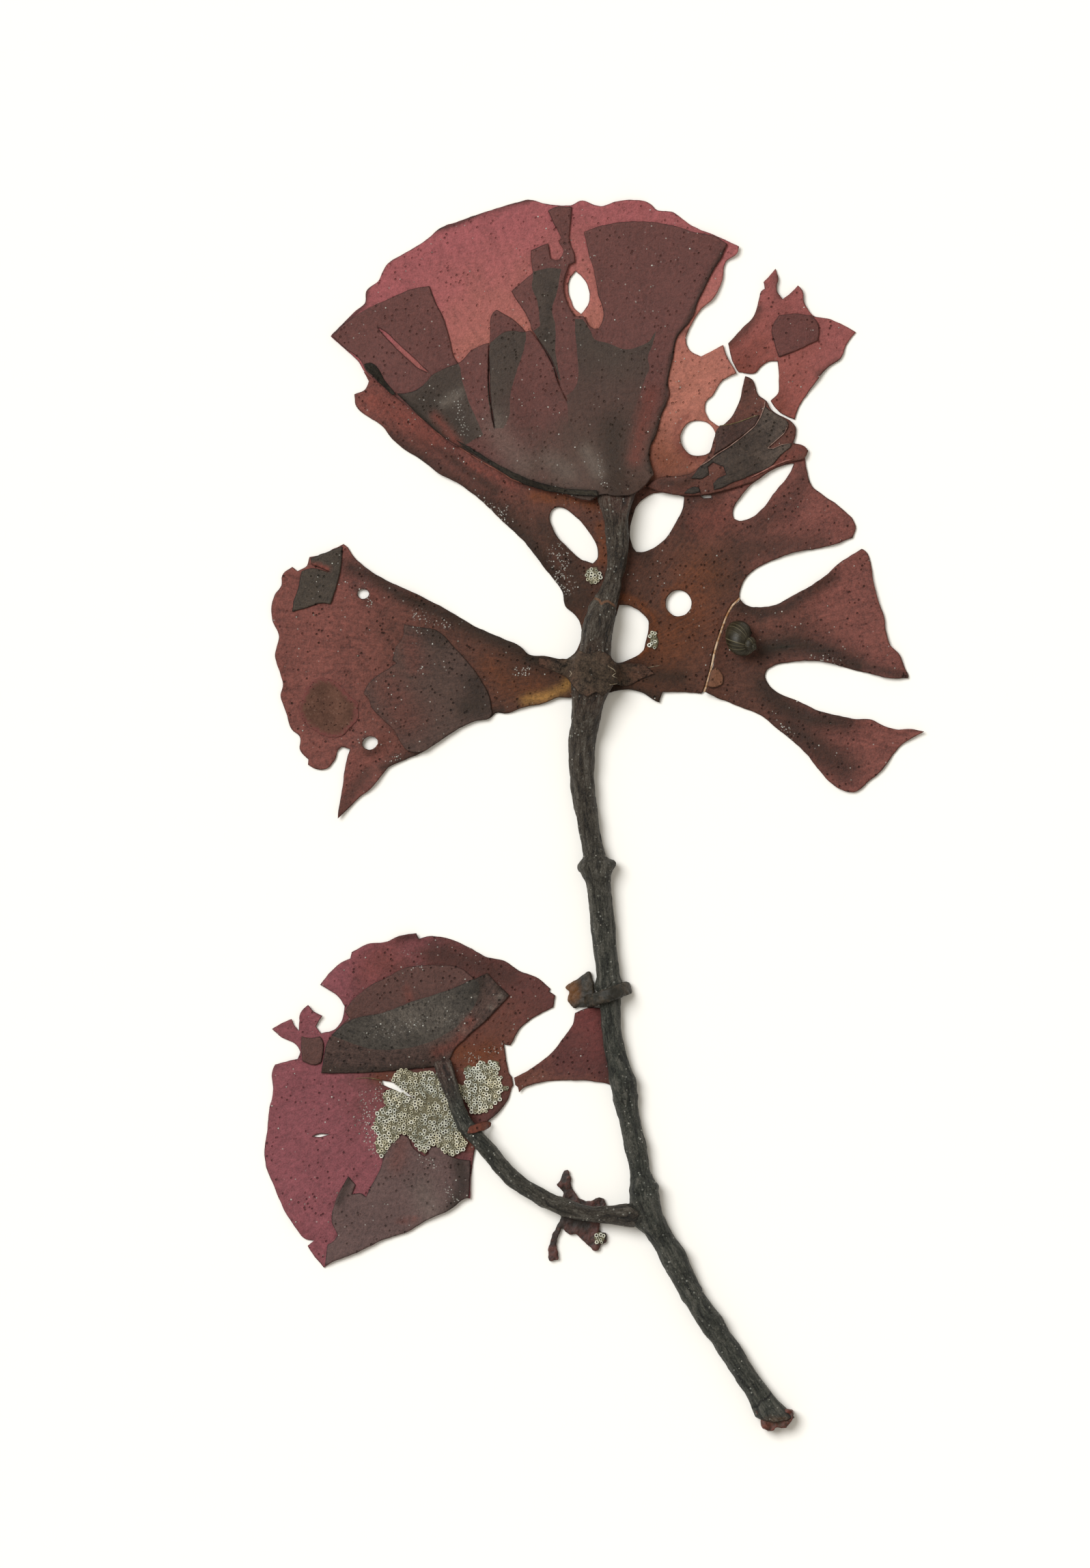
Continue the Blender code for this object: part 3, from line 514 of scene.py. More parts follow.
# %% Where a point is beside a line
def along_line(points, line):
    """Distance along a centre line, and signed distance to its side, for each point."""
    best = np.full(len(points), 1e9)
    along, side = np.zeros(len(points)), np.zeros(len(points))
    start = 0.0
    for a, b in zip(np.array(line), np.array(line)[1:]):
        length = np.linalg.norm(b - a)
        unit = (b - a) / length
        t = np.clip((points - a) @ unit, 0, length)
        gap = points - a - t[:, None] * unit
        distance = np.linalg.norm(gap, axis=1)
        nearer = distance < best
        best[nearer] = distance[nearer]
        along[nearer] = (start + t)[nearer]
        side[nearer] = (unit[0] * gap[:, 1] - unit[1] * gap[:, 0])[nearer]
        start += length
    return along, side, best


def bulge(points, centre, reach):
    """1 at the centre, fading out over this reach."""
    return np.exp(-(np.linalg.norm(points - centre, axis=1) / reach) ** 2)

# %% Narrow cracks
CRACK_REACH = 0.5               # mm, wider openings are left as they are


def narrowed(loop, others, width):
    """Moves both sides of a crack together until it is this wide."""
    ways = outward(loop)
    moved = loop.copy()
    for i, point in enumerate(loop):
        gaps = others - point
        lengths = np.linalg.norm(gaps, axis=1)
        facing = (gaps @ ways[i] > 0.6 * lengths) & (lengths < CRACK_REACH)
        if facing.any():
            nearest = np.argmin(np.where(facing, lengths, np.inf))
            moved[i] += gaps[nearest] * max(0, lengths[nearest] - width) / 2 / lengths[nearest]
    return moved

# %% [markdown]
# Filling an outline
# A thin sheet that drapes needs points inside it, not only along its rim. Points on an even grid, two
# rows just inside the margin and the hidden outlines of the sheets below are joined by a constrained
# triangulation. Because those hidden outlines become edges of the mesh, each face lies wholly over one
# number of layers, and the darker areas get a clean border.

# %% Points and triangles of a sheet
GRID = 0.32                     # mm between points inside a sheet
# The first seed of each group of pieces; the lower sheets start at 0
UPPER_SEED, DRAPE_SEED, CROWN_DRAPE_SEED, CRUST_SEED, BROWN_SEED, GRAIN_SEED = 20, 70, 80, 40, 60, 3
RIM_ROWS = (0.07, 0.17)         # mm from the margin


def grid_points(loops, spacing, seed):
    """An even triangular grid inside the outline, slightly shaken."""
    low, high = loops[0].min(0), loops[0].max(0)
    rows = np.arange(low[1], high[1], spacing * math.sqrt(3) / 2)
    columns = np.arange(low[0], high[0] + spacing, spacing)
    x, y = np.meshgrid(columns, rows)
    x = x + spacing / 2 * (np.arange(len(rows)) % 2)[:, None]
    points = np.stack([x.ravel(), y.ravel()], 1)
    points += np.random.default_rng(seed).uniform(-0.18, 0.18, points.shape) * spacing
    points = points[inside(points, loops)]
    return points[margin_distance(points, loops) > RIM_ROWS[-1] + spacing / 3]


def rim_points(loops):
    """Rows of points that follow the margin just inside it."""
    points = np.concatenate([loop - outward(loop) * row for row in RIM_ROWS for loop in loops])
    points = points[inside(points, loops)]
    return points[margin_distance(points, loops) > RIM_ROWS[0] * 0.85]


def fill(loops, hidden, spacing, seed):
    """Points and triangles of a sheet, with edges along the hidden outlines of the sheets below."""
    chains = [(loop, np.ones(len(loop), bool)) for loop in loops]
    for outline in hidden:
        middles = (outline + np.roll(outline, -1, 0)) / 2
        keep = inside(middles, loops)
        keep &= margin_distance(middles, loops) > RIM_ROWS[0]
        chains.append((outline, keep))
    points, edges = [], []
    for chain, keep in chains:
        start, count = len(points), len(chain)
        points += [tuple(p) for p in chain]
        edges += [(start + i, start + (i + 1) % count) for i in range(count) if keep[i]]
    free = np.concatenate([rim_points(loops), grid_points(loops, spacing, seed)])
    used = sorted({i for edge in edges for i in edge})
    renumber = {old: new for new, old in enumerate(used)}
    points = [points[i] for i in used] + [tuple(p) for p in free]
    edges = [(renumber[a], renumber[b]) for a, b in edges]
    flat, _, faces, *_ = delaunay_2d_cdt([Vector(p) for p in points], edges, [], 0, 1e-5)
    flat = np.array([tuple(p) for p in flat])
    faces = np.array([tuple(f) for f in faces])
    faces = faces[inside(flat[faces].mean(1), loops)]
    used, faces = np.unique(faces, return_inverse=True)
    flat, faces = flat[used], faces.reshape(-1, 3)
    a, b, c = flat[faces[:, 0]], flat[faces[:, 1]], flat[faces[:, 2]]
    turned = (b[:, 0] - a[:, 0]) * (c[:, 1] - a[:, 1]) < (b[:, 1] - a[:, 1]) * (c[:, 0] - a[:, 0])
    faces[turned] = faces[turned][:, ::-1]
    return flat, faces

# %% [markdown]
# Letting the sheets settle
# A pressed blade lies on whatever is below it and bends a little over each hidden edge. The pile is kept
# as a map of heights. Each sheet is laid on the map, and its points are then averaged with their
# neighbours many times without ever going below the map, which is how a stiff wet sheet comes to rest.
# Near the hub the crown keeps a hollow, because a funnel can't be pressed quite flat around its stipe.

# %% The pile and a settled sheet
CELL = 0.34                     # mm, the map's cell
AIR = 0.02                      # mm left between sheets
MAP_LOW = np.array([-27.0, -49.0])
MAP_SIZE = (290, 160)
pile = np.zeros(MAP_SIZE)


def map_cells(points):
    spot = (points - MAP_LOW) / CELL
    cell = np.floor(spot).astype(int)
    return cell, spot - cell


def height_below(points):
    """The pile's height under each point."""
    cell, part = map_cells(points)
    x, y = cell[:, 0], cell[:, 1]
    u, v = part[:, 0], part[:, 1]
    low = pile[y, x] * (1 - u) + pile[y, x + 1] * u
    high = pile[y + 1, x] * (1 - u) + pile[y + 1, x + 1] * u
    return low * (1 - v) + high * v


def add_to_pile(points, tops):
    cell, _ = map_cells(points)
    for dx in (0, 1):
        for dy in (0, 1):
            np.maximum.at(pile, (cell[:, 1] + dy, cell[:, 0] + dx), tops)


def face_sides(faces):
    return np.concatenate([faces[:, [0, 1]], faces[:, [1, 2]], faces[:, [2, 0]]])


def settle(points, faces, lift, rounds):
    """Heights of a sheet's underside, at rest on the pile."""
    support = height_below(points) + AIR
    height = np.maximum(support, lift)
    a, b = np.unique(np.sort(face_sides(faces), 1), axis=0).T
    degree = np.bincount(a, minlength=len(points)) + np.bincount(b, minlength=len(points))
    for _ in range(rounds):
        total = np.bincount(a, height[b], len(points)) + np.bincount(b, height[a], len(points))
        height = np.maximum(support, total / degree)
    return height

# %% A mesh's points and stored values
def set_vectors(mesh, name, values):
    mesh.attributes.new(name, "FLOAT_VECTOR", "POINT").data.foreach_set(
        "vector", np.asarray(values, np.float32).ravel())


def set_values(mesh, name, values, domain="POINT"):
    mesh.attributes.new(name, "FLOAT", domain).data.foreach_set("value", np.asarray(values, np.float32))


def get_points(mesh):
    """The mesh's points in millimetres."""
    flat = np.empty(len(mesh.vertices) * 3, np.float32)
    mesh.vertices.foreach_get("co", flat)
    return flat.reshape(-1, 3).astype(float) / MM


def set_points(mesh, points):
    mesh.vertices.foreach_set("co", (points * MM).astype(np.float32).ravel())
    mesh.update()


def get_normals(mesh):
    return np.array([tuple(v.normal) for v in mesh.vertices])


def shade_smooth(mesh):
    mesh.polygons.foreach_set("use_smooth", np.ones(len(mesh.polygons), bool))


def closed_tube(name, rings, sides, finish):
    """A closed mesh through rings of this many points, in millimetres, with a cap at each end."""
    count = len(rings) // sides
    faces = [tuple(range(sides)), tuple(range((count - 1) * sides, count * sides))]
    for row in range(count - 1):
        for k in range(sides):
            a, b = row * sides + k, row * sides + (k + 1) % sides
            faces.append((a, b, b + sides, a + sides))
    mesh = bpy.data.meshes.new(name)
    mesh.from_pydata([tuple(p * MM) for p in rings], [], faces)
    shade_smooth(mesh)
    whole = bmesh.new()
    whole.from_mesh(mesh)
    bmesh.ops.recalc_face_normals(whole, faces=whole.faces)
    whole.to_mesh(mesh)
    whole.free()
    mesh.materials.append(finish)
    return mesh

# %% A closed sheet with its attributes
EDGE_ROUND = 0.09               # mm over which the margin thins out
EDGE_LEFT = 0.3                 # share of the thickness left at the margin


def sheet_mesh(name, points, faces, under, thickness, loops, layers, hub):
    """Upper side, underside and a narrow wall at the margin, in one closed mesh."""
    count = len(points)
    edge = margin_distance(points, loops)
    roundness = np.sqrt(1 - (1 - np.clip(edge / EDGE_ROUND, 0, 1)) ** 2)
    half = thickness / 2 * (EDGE_LEFT + (1 - EDGE_LEFT) * roundness)
    middle = under + thickness / 2
    verts = np.concatenate([np.column_stack([points, middle + side]) for side in (half, -half)])
    pairs = face_sides(faces)
    keys = pairs[:, 0] * count + pairs[:, 1]
    back = pairs[:, 1] * count + pairs[:, 0]
    rim = pairs[~np.isin(keys, back)]
    walls = np.column_stack([rim[:, 1], rim[:, 0], rim[:, 0] + count, rim[:, 1] + count])
    triangles = np.concatenate([faces, faces[:, ::-1] + count])
    mesh = bpy.data.meshes.new(name)
    mesh.from_pydata(verts * MM, [], [tuple(f) for f in triangles] + [tuple(w) for w in walls])
    shade_smooth(mesh)
    away = points - np.array(hub[:2])
    radius = np.linalg.norm(away, axis=1)
    angle = np.arctan2(away[:, 1], away[:, 0]) - math.radians(hub[2])
    angle = (angle + math.pi) % (2 * math.pi) - math.pi
    set_values(mesh, "edge", np.tile(edge, 2))
    set_values(mesh, "hub", np.tile(radius, 2))
    set_vectors(mesh, "polar", np.column_stack([np.tile(angle * 20, 2), np.tile(radius, 2),
                                                np.repeat([0.0, 5.0], count)]))
    set_values(mesh, "layers", np.concatenate([layers, layers, np.ones(len(walls))]), "FACE")
    return mesh

# %% [markdown]
# The finish of a dried blade
# One recipe serves all blades. Its colour starts from the number of layers under each face, which is a
# step, and from the distance to the hub, which is a slow change from the thick brown middle to the thin
# pink margin. Stains, and one stroke of painted shade, are stored on the mesh as soft strokes, and tint
# it. Over that lie a cloudy mottle, fine streaks that run out from the hub, dark pits, pale salt dust and
# a thin dark line at the margin, partly the margin's own darker edge and partly painted shade.
# The bump carries the same streaks and pits, so light and colour agree.

# %% One recipe for blades
# The dark colour serves real stains and also one stroke of painted shade.
STAIN_AND_SHADE_COLORS = {"dark": seen(50, 45, 40), "red": seen(120, 68, 60), "warm": seen(112, 66, 44),
                "tan": seen(154, 114, 66), "pale": seen(122, 112, 103)}


def blade_finish(name, single, reach, layered, fade=0.0, streak=0.5, mottle=0.6, pitted=0.5):
    """Three single-layer colours with their hub distances in mm, and the colours of 2, 3 and 4 layers."""
    f = Finish(name)
    single, layered = [seen(*color) for color in single], [seen(*color) for color in layered]
    here, polar = f.place(), f.attribute("polar", vector=True)
    hub, edge, layers = f.attribute("hub"), f.attribute("edge"), f.attribute("layers")
    cloud = f.noise(here, 0.4, 5.0, 0.6)
    grain = f.noise(here, 3.2, 5.0, 0.7)
    fine = f.noise(here, 8.0, 3.0, 0.7)
    streaks = f.noise(f.stretch(polar, (1.0, 0.07, 1.0)), 2.6, 5.0, 0.75)
    wander = hub + (cloud - 0.5) * 6
    color = f.mix(wander.ramp(reach[0], reach[1]), single[0], single[1])
    color = f.mix(wander.ramp(reach[1], reach[2]), color, single[2])
    for count, layer_color in enumerate(layered[:3]):
        color = f.mix(layers > count + 1.5, color, layer_color)
    if fade:
        many = layers > 1.5
        color = f.mix(many * (1 - wander.ramp(fade * 0.8, fade * 1.5)) * 0.6, color, layered[3])
        color = f.mix(many * (1 - wander.ramp(fade * 0.6, fade * 1.05)) * 0.92, color, layered[4])
    for stroke_kind, stroke_color in STAIN_AND_SHADE_COLORS.items():
        amount = f.attribute(stroke_kind)
        color = f.mix((amount * (0.7 + cloud * 0.6 + (streaks - 0.5) * 0.9)).clamp(), color, stroke_color)
    chance = f.noise(here, 0.55, 3.0)
    flat = f.stretch(here, (1.0, 1.0, 0.05))
    dots = f.cells(flat, 2.3)
    pits = (1 - dots.ramp(0.09, 0.24)) * chance.ramp(0.4, 0.56)
    specks = (1 - f.cells(flat, 1.3).ramp(0.04, 0.1)) * chance.ramp(0.6, 0.45)
    crumbs = 1 - f.cells(flat, 5.0).ramp(0.16, 0.34)
    scurf = crumbs * (f.attribute("salt") + (cloud - 0.5) * 0.8).ramp(0.25, 0.6)
    # The dark margin line: partly the margin's own darker edge, partly painted shade along the margins.
    rim = (1 - (edge + (grain - 0.5) * 0.14).ramp(0.02, 0.11)) * cloud.ramp(0.3, 0.62)
    color = f.coats(color,
                    (pits * pitted, (36, 26, 24)),
                    (rim * 0.6, (38, 26, 24)))
    light = (1.0 + (cloud - 0.5) * (mottle * 0.9) + (grain - 0.5) * (mottle * 2.4)
             + (fine - 0.5) * (mottle * 1.8) + (streaks - 0.5) * (streak * 1.6))
    color = f.node("ShaderNodeVectorMath", settings={"operation": "SCALE"}, slots={0: color, 3: light})
    color = f.mix(((specks * 0.75) + scurf).clamp() * 0.8, color, seen(178, 174, 166))
    f.bump((grain - 0.5) * 1.2 + (streaks - 0.5) * streak - pits * 1.4 + (fine - 0.5) * 0.5, 0.07 * MM, 1.0)
    return f.finish(color, 0.5 + (grain - 0.5) * 0.5, 0.2)


def plain_finish(name, color, streak, mottle):
    """A blade of one colour, whatever lies under it."""
    return blade_finish(name, [color] * 3, (8, 11, 14), [color] * 3, streak=streak, mottle=mottle)


CROWN_SKIN = [(132, 82, 67), (173, 111, 96), (159, 91, 93)]
CROWN_LAYERS = [(105, 70, 66), (77, 67, 61), (86, 69, 62), (92, 65, 60), (87, 70, 63)]
CROWN = blade_finish("crown_blade", CROWN_SKIN, (5.0, 11, 25.5), CROWN_LAYERS, fade=9.5, streak=0.3,
                     mottle=0.5, pitted=0.22)
BROKEN = blade_finish("broken_lobe", [(118, 66, 55), (144, 84, 77), (150, 88, 85)], (13, 17, 22),
                      [(104, 67, 63)] * 3, streak=0.35, mottle=0.5)
FOLDED = blade_finish("folded_crown_lobe", CROWN_SKIN, (5.0, 10, 24.5),
                      [(100, 66, 58), (77, 67, 61), (77, 67, 61)], streak=0.35, mottle=0.7)
MIDDLE = blade_finish("middle_blade", [(80, 56, 46), (92, 63, 54), (122, 76, 69)], (4, 11, 21),
                      [(85, 68, 62), (74, 66, 59), (74, 66, 59)], streak=0.7, mottle=0.75, pitted=0.65)
SIDE = blade_finish("side_blade", [(106, 68, 59), (98, 62, 58), (135, 80, 85)], (2, 6.5, 12),
                    [(94, 68, 63), (70, 65, 60), (70, 65, 60)], streak=0.4, mottle=0.55)
MAUVE = blade_finish("folded_side_lobe", [(98, 78, 76)] * 3, (1, 2, 3),
                     [(100, 80, 77), (86, 70, 68), (70, 65, 60)], streak=0.4, mottle=0.6)
YOUNG = blade_finish("young_side_blade", [(90, 72, 67)] * 3, (1, 2, 3),
                     [(82, 66, 61), (72, 67, 62), (72, 67, 62)], streak=0.8, mottle=1.1)
BLACK = blade_finish("dark_fold", [(50, 46, 41), (56, 52, 46), (56, 52, 46)], (1, 2, 3.5),
                     [(50, 46, 41)] * 3, streak=0.8, mottle=1.2)
WEDGE = blade_finish("old_wedge", [(112, 64, 62), (96, 60, 57), (110, 72, 63)], (1, 4, 6.5),
                     [(96, 60, 56)] * 3, streak=0.3, mottle=0.6)
HUB = blade_finish("hub_tissue", [(84, 72, 62), (84, 70, 60), (88, 66, 56)], (1, 2, 3.5),
                   [(74, 60, 52)] * 3, streak=1.2, mottle=1.5)
# Doubled tissue, and also the dark patch of painted shade at the folded lobe's foot.
DOUBLED_AND_SHADE = blade_finish("doubled_fold_and_shade", [(69, 62, 57), (73, 63, 57), (86, 75, 68)], (8, 11, 14),
                       [(69, 62, 57)] * 3, streak=0.8, mottle=0.9)
SINGLE_FOLD = plain_finish("single_fold", (80, 61, 56), streak=0.6, mottle=0.8)
BROWN_SCALE = plain_finish("brown_scale", (118, 72, 60), streak=0.5, mottle=0.8)
THIN = plain_finish("thin_scale", (122, 85, 67), streak=0.4, mottle=0.6)
print("materials so far:", len(bpy.data.materials))

# %% [markdown]
# Stains and painted shade
# The dried tissue is darker where it folded, where it thickens and along some margins, and lighter or
# orange where it is thin near the hub. One dark stroke along the raised right edge of the crown's front
# sheet is painted shade. Each such place is a soft stroke: a short line with a width and a strength. The
# strokes are stored as values on the sheet's points, because they are far wider than the distance between
# the points, and the finish breaks their borders up with its own noise.

# %% Strokes on the blades: width in mm, strength, points
STAINS_AND_SHADE = {
    "middle_blade": {
        "dark": [
            (0.75, 0.8, [(-18.5, 18.8), (-17, 18.2), (-14.5, 16.6), (-11, 15.1), (-8, 13.6), (-5.5, 12.6)]),
            (0.6, 0.9, [(-5, 11.9), (-3.5, 11.6), (-1.5, 11.3), (0, 10.9)]),
            (0.45, 0.7, [(-16, 3.6), (-14, 4.4), (-12.5, 5.3), (-11, 6.4), (-9.5, 7.1), (-8, 7.6),
                         (-7, 7.8)]),
            (0.45, 0.5, [(-17.9, 17.2), (-17.2, 16.2)]), (0.45, 0.5, [(-17.6, 5.6), (-17.1, 4.9)]),
            (0.6, 0.55, [(-19.2, 0.2), (-18.4, 1.8), (-17.2, 3.2)]),
            (1.0, 0.75, [(-15.5, 28.6), (-13, 27), (-11, 25.4), (-9, 24), (-7, 22.8), (-5, 20.6),
                         (-3.5, 18.6), (-2.2, 16.4)]),
            (0.5, 0.7, [(-13.5, 28.6), (-11.5, 27.6), (-9.5, 26), (-7.5, 24.6)]),
            (0.55, 0.8, [(0.5, 11.2), (3, 10.8), (5, 10.6), (6.6, 10.5)]),
            (0.45, 0.7, [(1.2, 9.6), (3.5, 9.2), (5, 8.8)]),
            (0.5, 0.6, [(2.7, 24.2), (2.6, 22), (2.9, 20.3), (4, 19.7)]),
            (0.9, 0.5, [(7, 21.5), (6.8, 23.5), (9, 24.3)]),
            (1.0, 0.5, [(9.5, 19.2), (12, 20.3), (14, 20.4), (17, 20.6)]),
            (0.8, 0.5, [(10.8, 18.2), (9.6, 17.4), (9, 19.5)]),
            (0.9, 0.45, [(12.3, 21.8), (14.8, 23.6), (16, 25.6)]),
            (0.9, 0.55, [(-0.9, 16.4), (-1.4, 17.8), (-2.2, 19.8), (-3.9, 21.8)]),
        ],
        "warm": [
            (0.5, 0.75, [(0.1, 23.4), (-1.5, 24.1), (-3.2, 24), (-4.5, 24.2)]),
            (0.4, 0.7, [(0.4, 22), (0.7, 20.5), (0.6, 19.2)]),
            (0.35, 0.9, [(2.2, 16.5), (3.5, 16), (4.4, 15.1), (4.7, 13.8), (4.2, 12.7), (3.4, 12.2)]),
            (0.3, 0.6, [(5.2, 16), (5.5, 17.1), (6.5, 17.5), (7.5, 17), (7.8, 16), (7.2, 15.1), (6, 14.9),
                        (5.2, 16)]),
            (2.2, 0.5, [(5.5, 13.2), (7.5, 14.5), (8, 18)]),
            (0.9, 0.4, [(-8, 11.4), (-6.5, 9.6), (-4.5, 9.6)]),
        ],
        "tan": [
            (0.4, 0.85, [(-5.2, 8.7), (-3.6, 9), (-2.3, 9.6), (-2, 10.1)]),
            (0.3, 1.0, [(-2.4, 9.5), (-1.9, 10)]),
        ],
        "red": [
            (1.2, 0.5, [(8, 22), (9.5, 22.5)]), (1.0, 0.7, [(-16.8, 31.5), (-14, 29.8), (-12, 28.6)]),
            (0.35, 0.6, [(-9.5, 26.7), (-7.5, 25.7), (-6, 24.9)]),
        ],
        "salt": [
            (0.9, 0.9, [(-2.6, 19.8), (-2.3, 17.6)]), (0.4, 0.9, [(-8.4, 23.8), (-6.6, 22.4)]),
            (0.35, 1.0, [(-6, 10.9), (-5, 10.9)]), (0.3, 0.9, [(-2.1, 10.7), (-1.2, 10.2)]),
            (0.5, 0.6, [(-13.5, 15.2), (-11, 14.4)]), (0.3, 0.8, [(-17.6, 17.4), (-17, 15.9)]),
            (0.3, 0.8, [(-17.9, 5.7), (-16.7, 5.3)]), (0.3, 0.8, [(-16, 4), (-14.5, 4.5)]),
            (0.25, 1.0, [(-21.9, 11.05)]), (0.2, 1.0, [(-23.4, 9.25)]), (0.3, 0.7, [(-6.6, 23.4)]),
        ],
    },
    "broken_right_lobe": {
        "dark": [
            (0.55, 0.7, [(11, 15.9), (12.5, 15.3), (14.5, 15.7), (16.3, 17), (18, 18)]),
            (1.0, 0.85, [(13, 12.6), (15.5, 13), (18, 12.2), (20, 11.3)]),
            (0.5, 0.7, [(20, 11.4), (22, 10.9), (23.6, 10.5)]),
            (1.1, 0.8, [(13, 9.8), (14.4, 8.2), (16.5, 7.2), (19, 7.2)]),
            (1.3, 0.75, [(15, 6.6), (16.6, 5.4), (17.8, 4.4), (19, 3.6)]),
        ],
        "salt": [(0.3, 0.8, [(15, 6), (14.2, 6.8)]), (0.25, 0.8, [(16.5, 11.9), (18.5, 11.6)])],
    },
    "broken_upper_lobe": {
        "dark": [
            (0.35, 0.6, [(10.1, 35.6), (11.5, 36.8), (12.5, 38.4)]), (0.3, 0.6, [(17, 33.4), (18.6, 34.4)]),
            (0.3, 0.5, [(13.9, 40.9), (14, 39.4)]),
        ],
        "red": [(1.0, 0.5, [(11.5, 34.6), (12.5, 35.5)])],
    },
    "crown_back": {
        "dark": [
            (0.4, 0.75, [(4.4, 25.2), (6, 25.3), (7.6, 25.6)]),
            (0.3, 0.5, [(6.6, 28), (7.6, 27.2), (8.6, 27.4)]),
            (0.3, 0.4, [(-17.3, 39.4), (-18, 38.3), (-19.4, 36.8)]),
            (0.15, 0.6, [(6.6, 36.6), (7.2, 36.8)]), (0.25, 0.4, [(-12, 44.3), (-9, 45.5), (-5.5, 46.5)]),
            (0.13, 0.8, [(-19.9, 36.4), (-18.5, 37.7), (-17.4, 38.7), (-17.2, 39.8), (-15.8, 41.8),
                         (-14.3, 43), (-12.5, 44.2), (-10.3, 44.9), (-8, 45.9), (-5.7, 46.5), (-4.3, 46.7),
                         (-3, 46.5)]),
        ],
        "warm": [(1.0, 0.3, [(5.2, 27.8), (5.6, 26.6)])],
        "red": [
            (0.25, 0.6, [(7.1, 30.25), (6.4, 29.6), (6.2, 28.7), (6.45, 27.8), (7.2, 27.1), (8.3, 26.95)]),
        ],
    },
    "crown_folded_lobe": {
        "dark": [
            (0.4, 0.5, [(5.2, 25.2), (6.4, 25.1), (7.4, 25.4)]), (0.3, 0.4, [(11.8, 33), (11.5, 31.5)]),
        ],
        "red": [(0.35, 0.7, [(16, 27.9), (14.8, 27.2), (13, 26.3)]), (0.3, 0.5, [(12.6, 26), (11, 25.2)])],
    },
    "crown_front": {
        "dark": [
            (0.2, 0.95, [(-15.5, 32.4), (-13.5, 30.6), (-12, 29.2), (-10.5, 28.2), (-9, 27.4), (-7.5, 26.5),
                         (-6, 25.7), (-4, 25), (-2, 24.6), (0.3, 24.4)]),
            (0.35, 0.8, [(-4, 24.8), (-2, 24.4), (0, 24.2)]),
            (1.3, 0.6, [(1.4, 29.4), (1.5, 26.6), (1.6, 24.4)]),
            # Painted shade: a dark line just inside the front sheet's raised right edge.
            (0.16, 0.8, [(9.9, 42.9), (8.8, 41), (7.9, 39.2), (7.05, 37.3), (6.3, 36.4), (5.85, 34.6),
                         (5.5, 32.6), (5.35, 31.2), (5, 30.4), (4.5, 28.7), (4.1, 27.3), (4.3, 26)]),
            (0.12, 0.7, [(-3.2, 40.6), (-3.4, 38.2), (-3.7, 36)]),
            (0.9, 0.35, [(-13, 31.6), (-11, 30), (-9.5, 28.8)]),
        ],
        "red": [
            (0.35, 0.7, [(-12.1, 30.3), (-11.3, 29.3), (-10.4, 28.3)]),
            (0.6, 0.6, [(4.4, 32), (3.7, 29.6), (3.1, 27)]),
        ],
        "warm": [(0.4, 0.4, [(-16.3, 37.0), (-14.5, 35.4), (-12.7, 33.7)])],
        "pale": [
            (1.2, 0.3, [(-7.6, 29.6), (-6.8, 28.2), (-5.6, 26.8)]), (0.6, 0.4, [(-0.6, 27.6), (0.3, 26)]),
            (0.4, 0.5, [(-11.5, 31.2), (-10.2, 32)]), (0.8, 0.3, [(-3.5, 27), (-2, 26)]),
        ],
        "salt": [(0.6, 0.5, [(-10.6, 32), (-9.8, 29)]), (0.4, 0.4, [(0.4, 27.6), (0.6, 25)])],
    },
    "side_blade": {
        "dark": [
            (0.9, 0.45, [(-12, -10.4), (-9, -11.4), (-6.5, -12.3)]),
            (0.3, 0.6, [(-14.8, -9.3), (-13.5, -9.2)]),
            (0.35, 0.5, [(-8, -23.5), (-7.2, -22.4), (-6.8, -21.6)]),
        ],
        "warm": [
            (1.0, 0.65, [(-10.5, -18), (-9, -18.6), (-8, -18)]),
            (0.4, 0.6, [(-16.5, -19.9), (-15.2, -19.8)]), (0.5, 0.5, [(-10.4, -24.2), (-9.4, -25)]),
        ],
        "red": [(1.4, 0.5, [(-17, -11.6), (-16, -10.8)])],
        "salt": [
            (1.3, 0.3, [(-15, -10.4), (-12.5, -10.6), (-10, -10.8)]),
            (0.5, 0.9, [(-16.2, -20.6), (-16.9, -21.8), (-17.2, -23.4), (-16.8, -25.4)]),
            (1.0, 0.5, [(-17.2, -21.4), (-17.6, -23)]), (0.5, 0.7, [(-9.6, -18.4), (-7.6, -17.8)]),
            (0.4, 0.6, [(-6.9, -17.5)]), (0.25, 1.0, [(-18.2, -23.35)]),
        ],
    },
    "side_upper_lobe": {
        "salt": [(0.4, 0.6, [(-14, -11.8), (-13, -11.6)])],
        "red": [(0.3, 0.5, [(-14.2, -13.2), (-14, -14.1)])],
    },
    "side_young_blade": {
        "dark": [
            (0.3, 0.7, [(-20.5, -19.3), (-16, -19.3), (-12.5, -19)]),
            (0.5, 0.7, [(-8.6, -12.4), (-9, -13.8)]), (0.3, 0.6, [(-7.4, -13), (-6.6, -13.6)]),
        ],
        "pale": [
            (2.0, 0.3, [(-15, -14.6), (-12.4, -14.8)]), (0.16, 0.7, [(-7.3, -13.9), (-7, -13.7)]),
            (0.16, 0.6, [(-9.1, -13.8)]), (0.2, 0.5, [(-7.8, -14.6)]), (0.3, 0.4, [(-9.9, -16.3)]),
        ],
        "red": [(0.4, 0.6, [(-9.4, -15.6), (-10.5, -17.4), (-12, -18)])],
        "salt": [(1.2, 0.35, [(-17, -16.6), (-13, -15.6), (-10, -15.4)])],
    },
    "side_folded_lobe": {
        "dark": [
            (0.7, 0.8, [(-10.2, -26.4), (-9.9, -28), (-10.8, -30)]),
            (0.3, 0.7, [(-18.6, -27.6), (-19.4, -29.4)]),
        ],
        "red": [(0.7, 0.35, [(-14.6, -24.9), (-15, -26.4)]), (0.12, 0.9, [(-15, -30.75), (-13.4, -30.65)])],
        "pale": [(1.0, 0.3, [(-13, -28.4), (-12.4, -30)])],
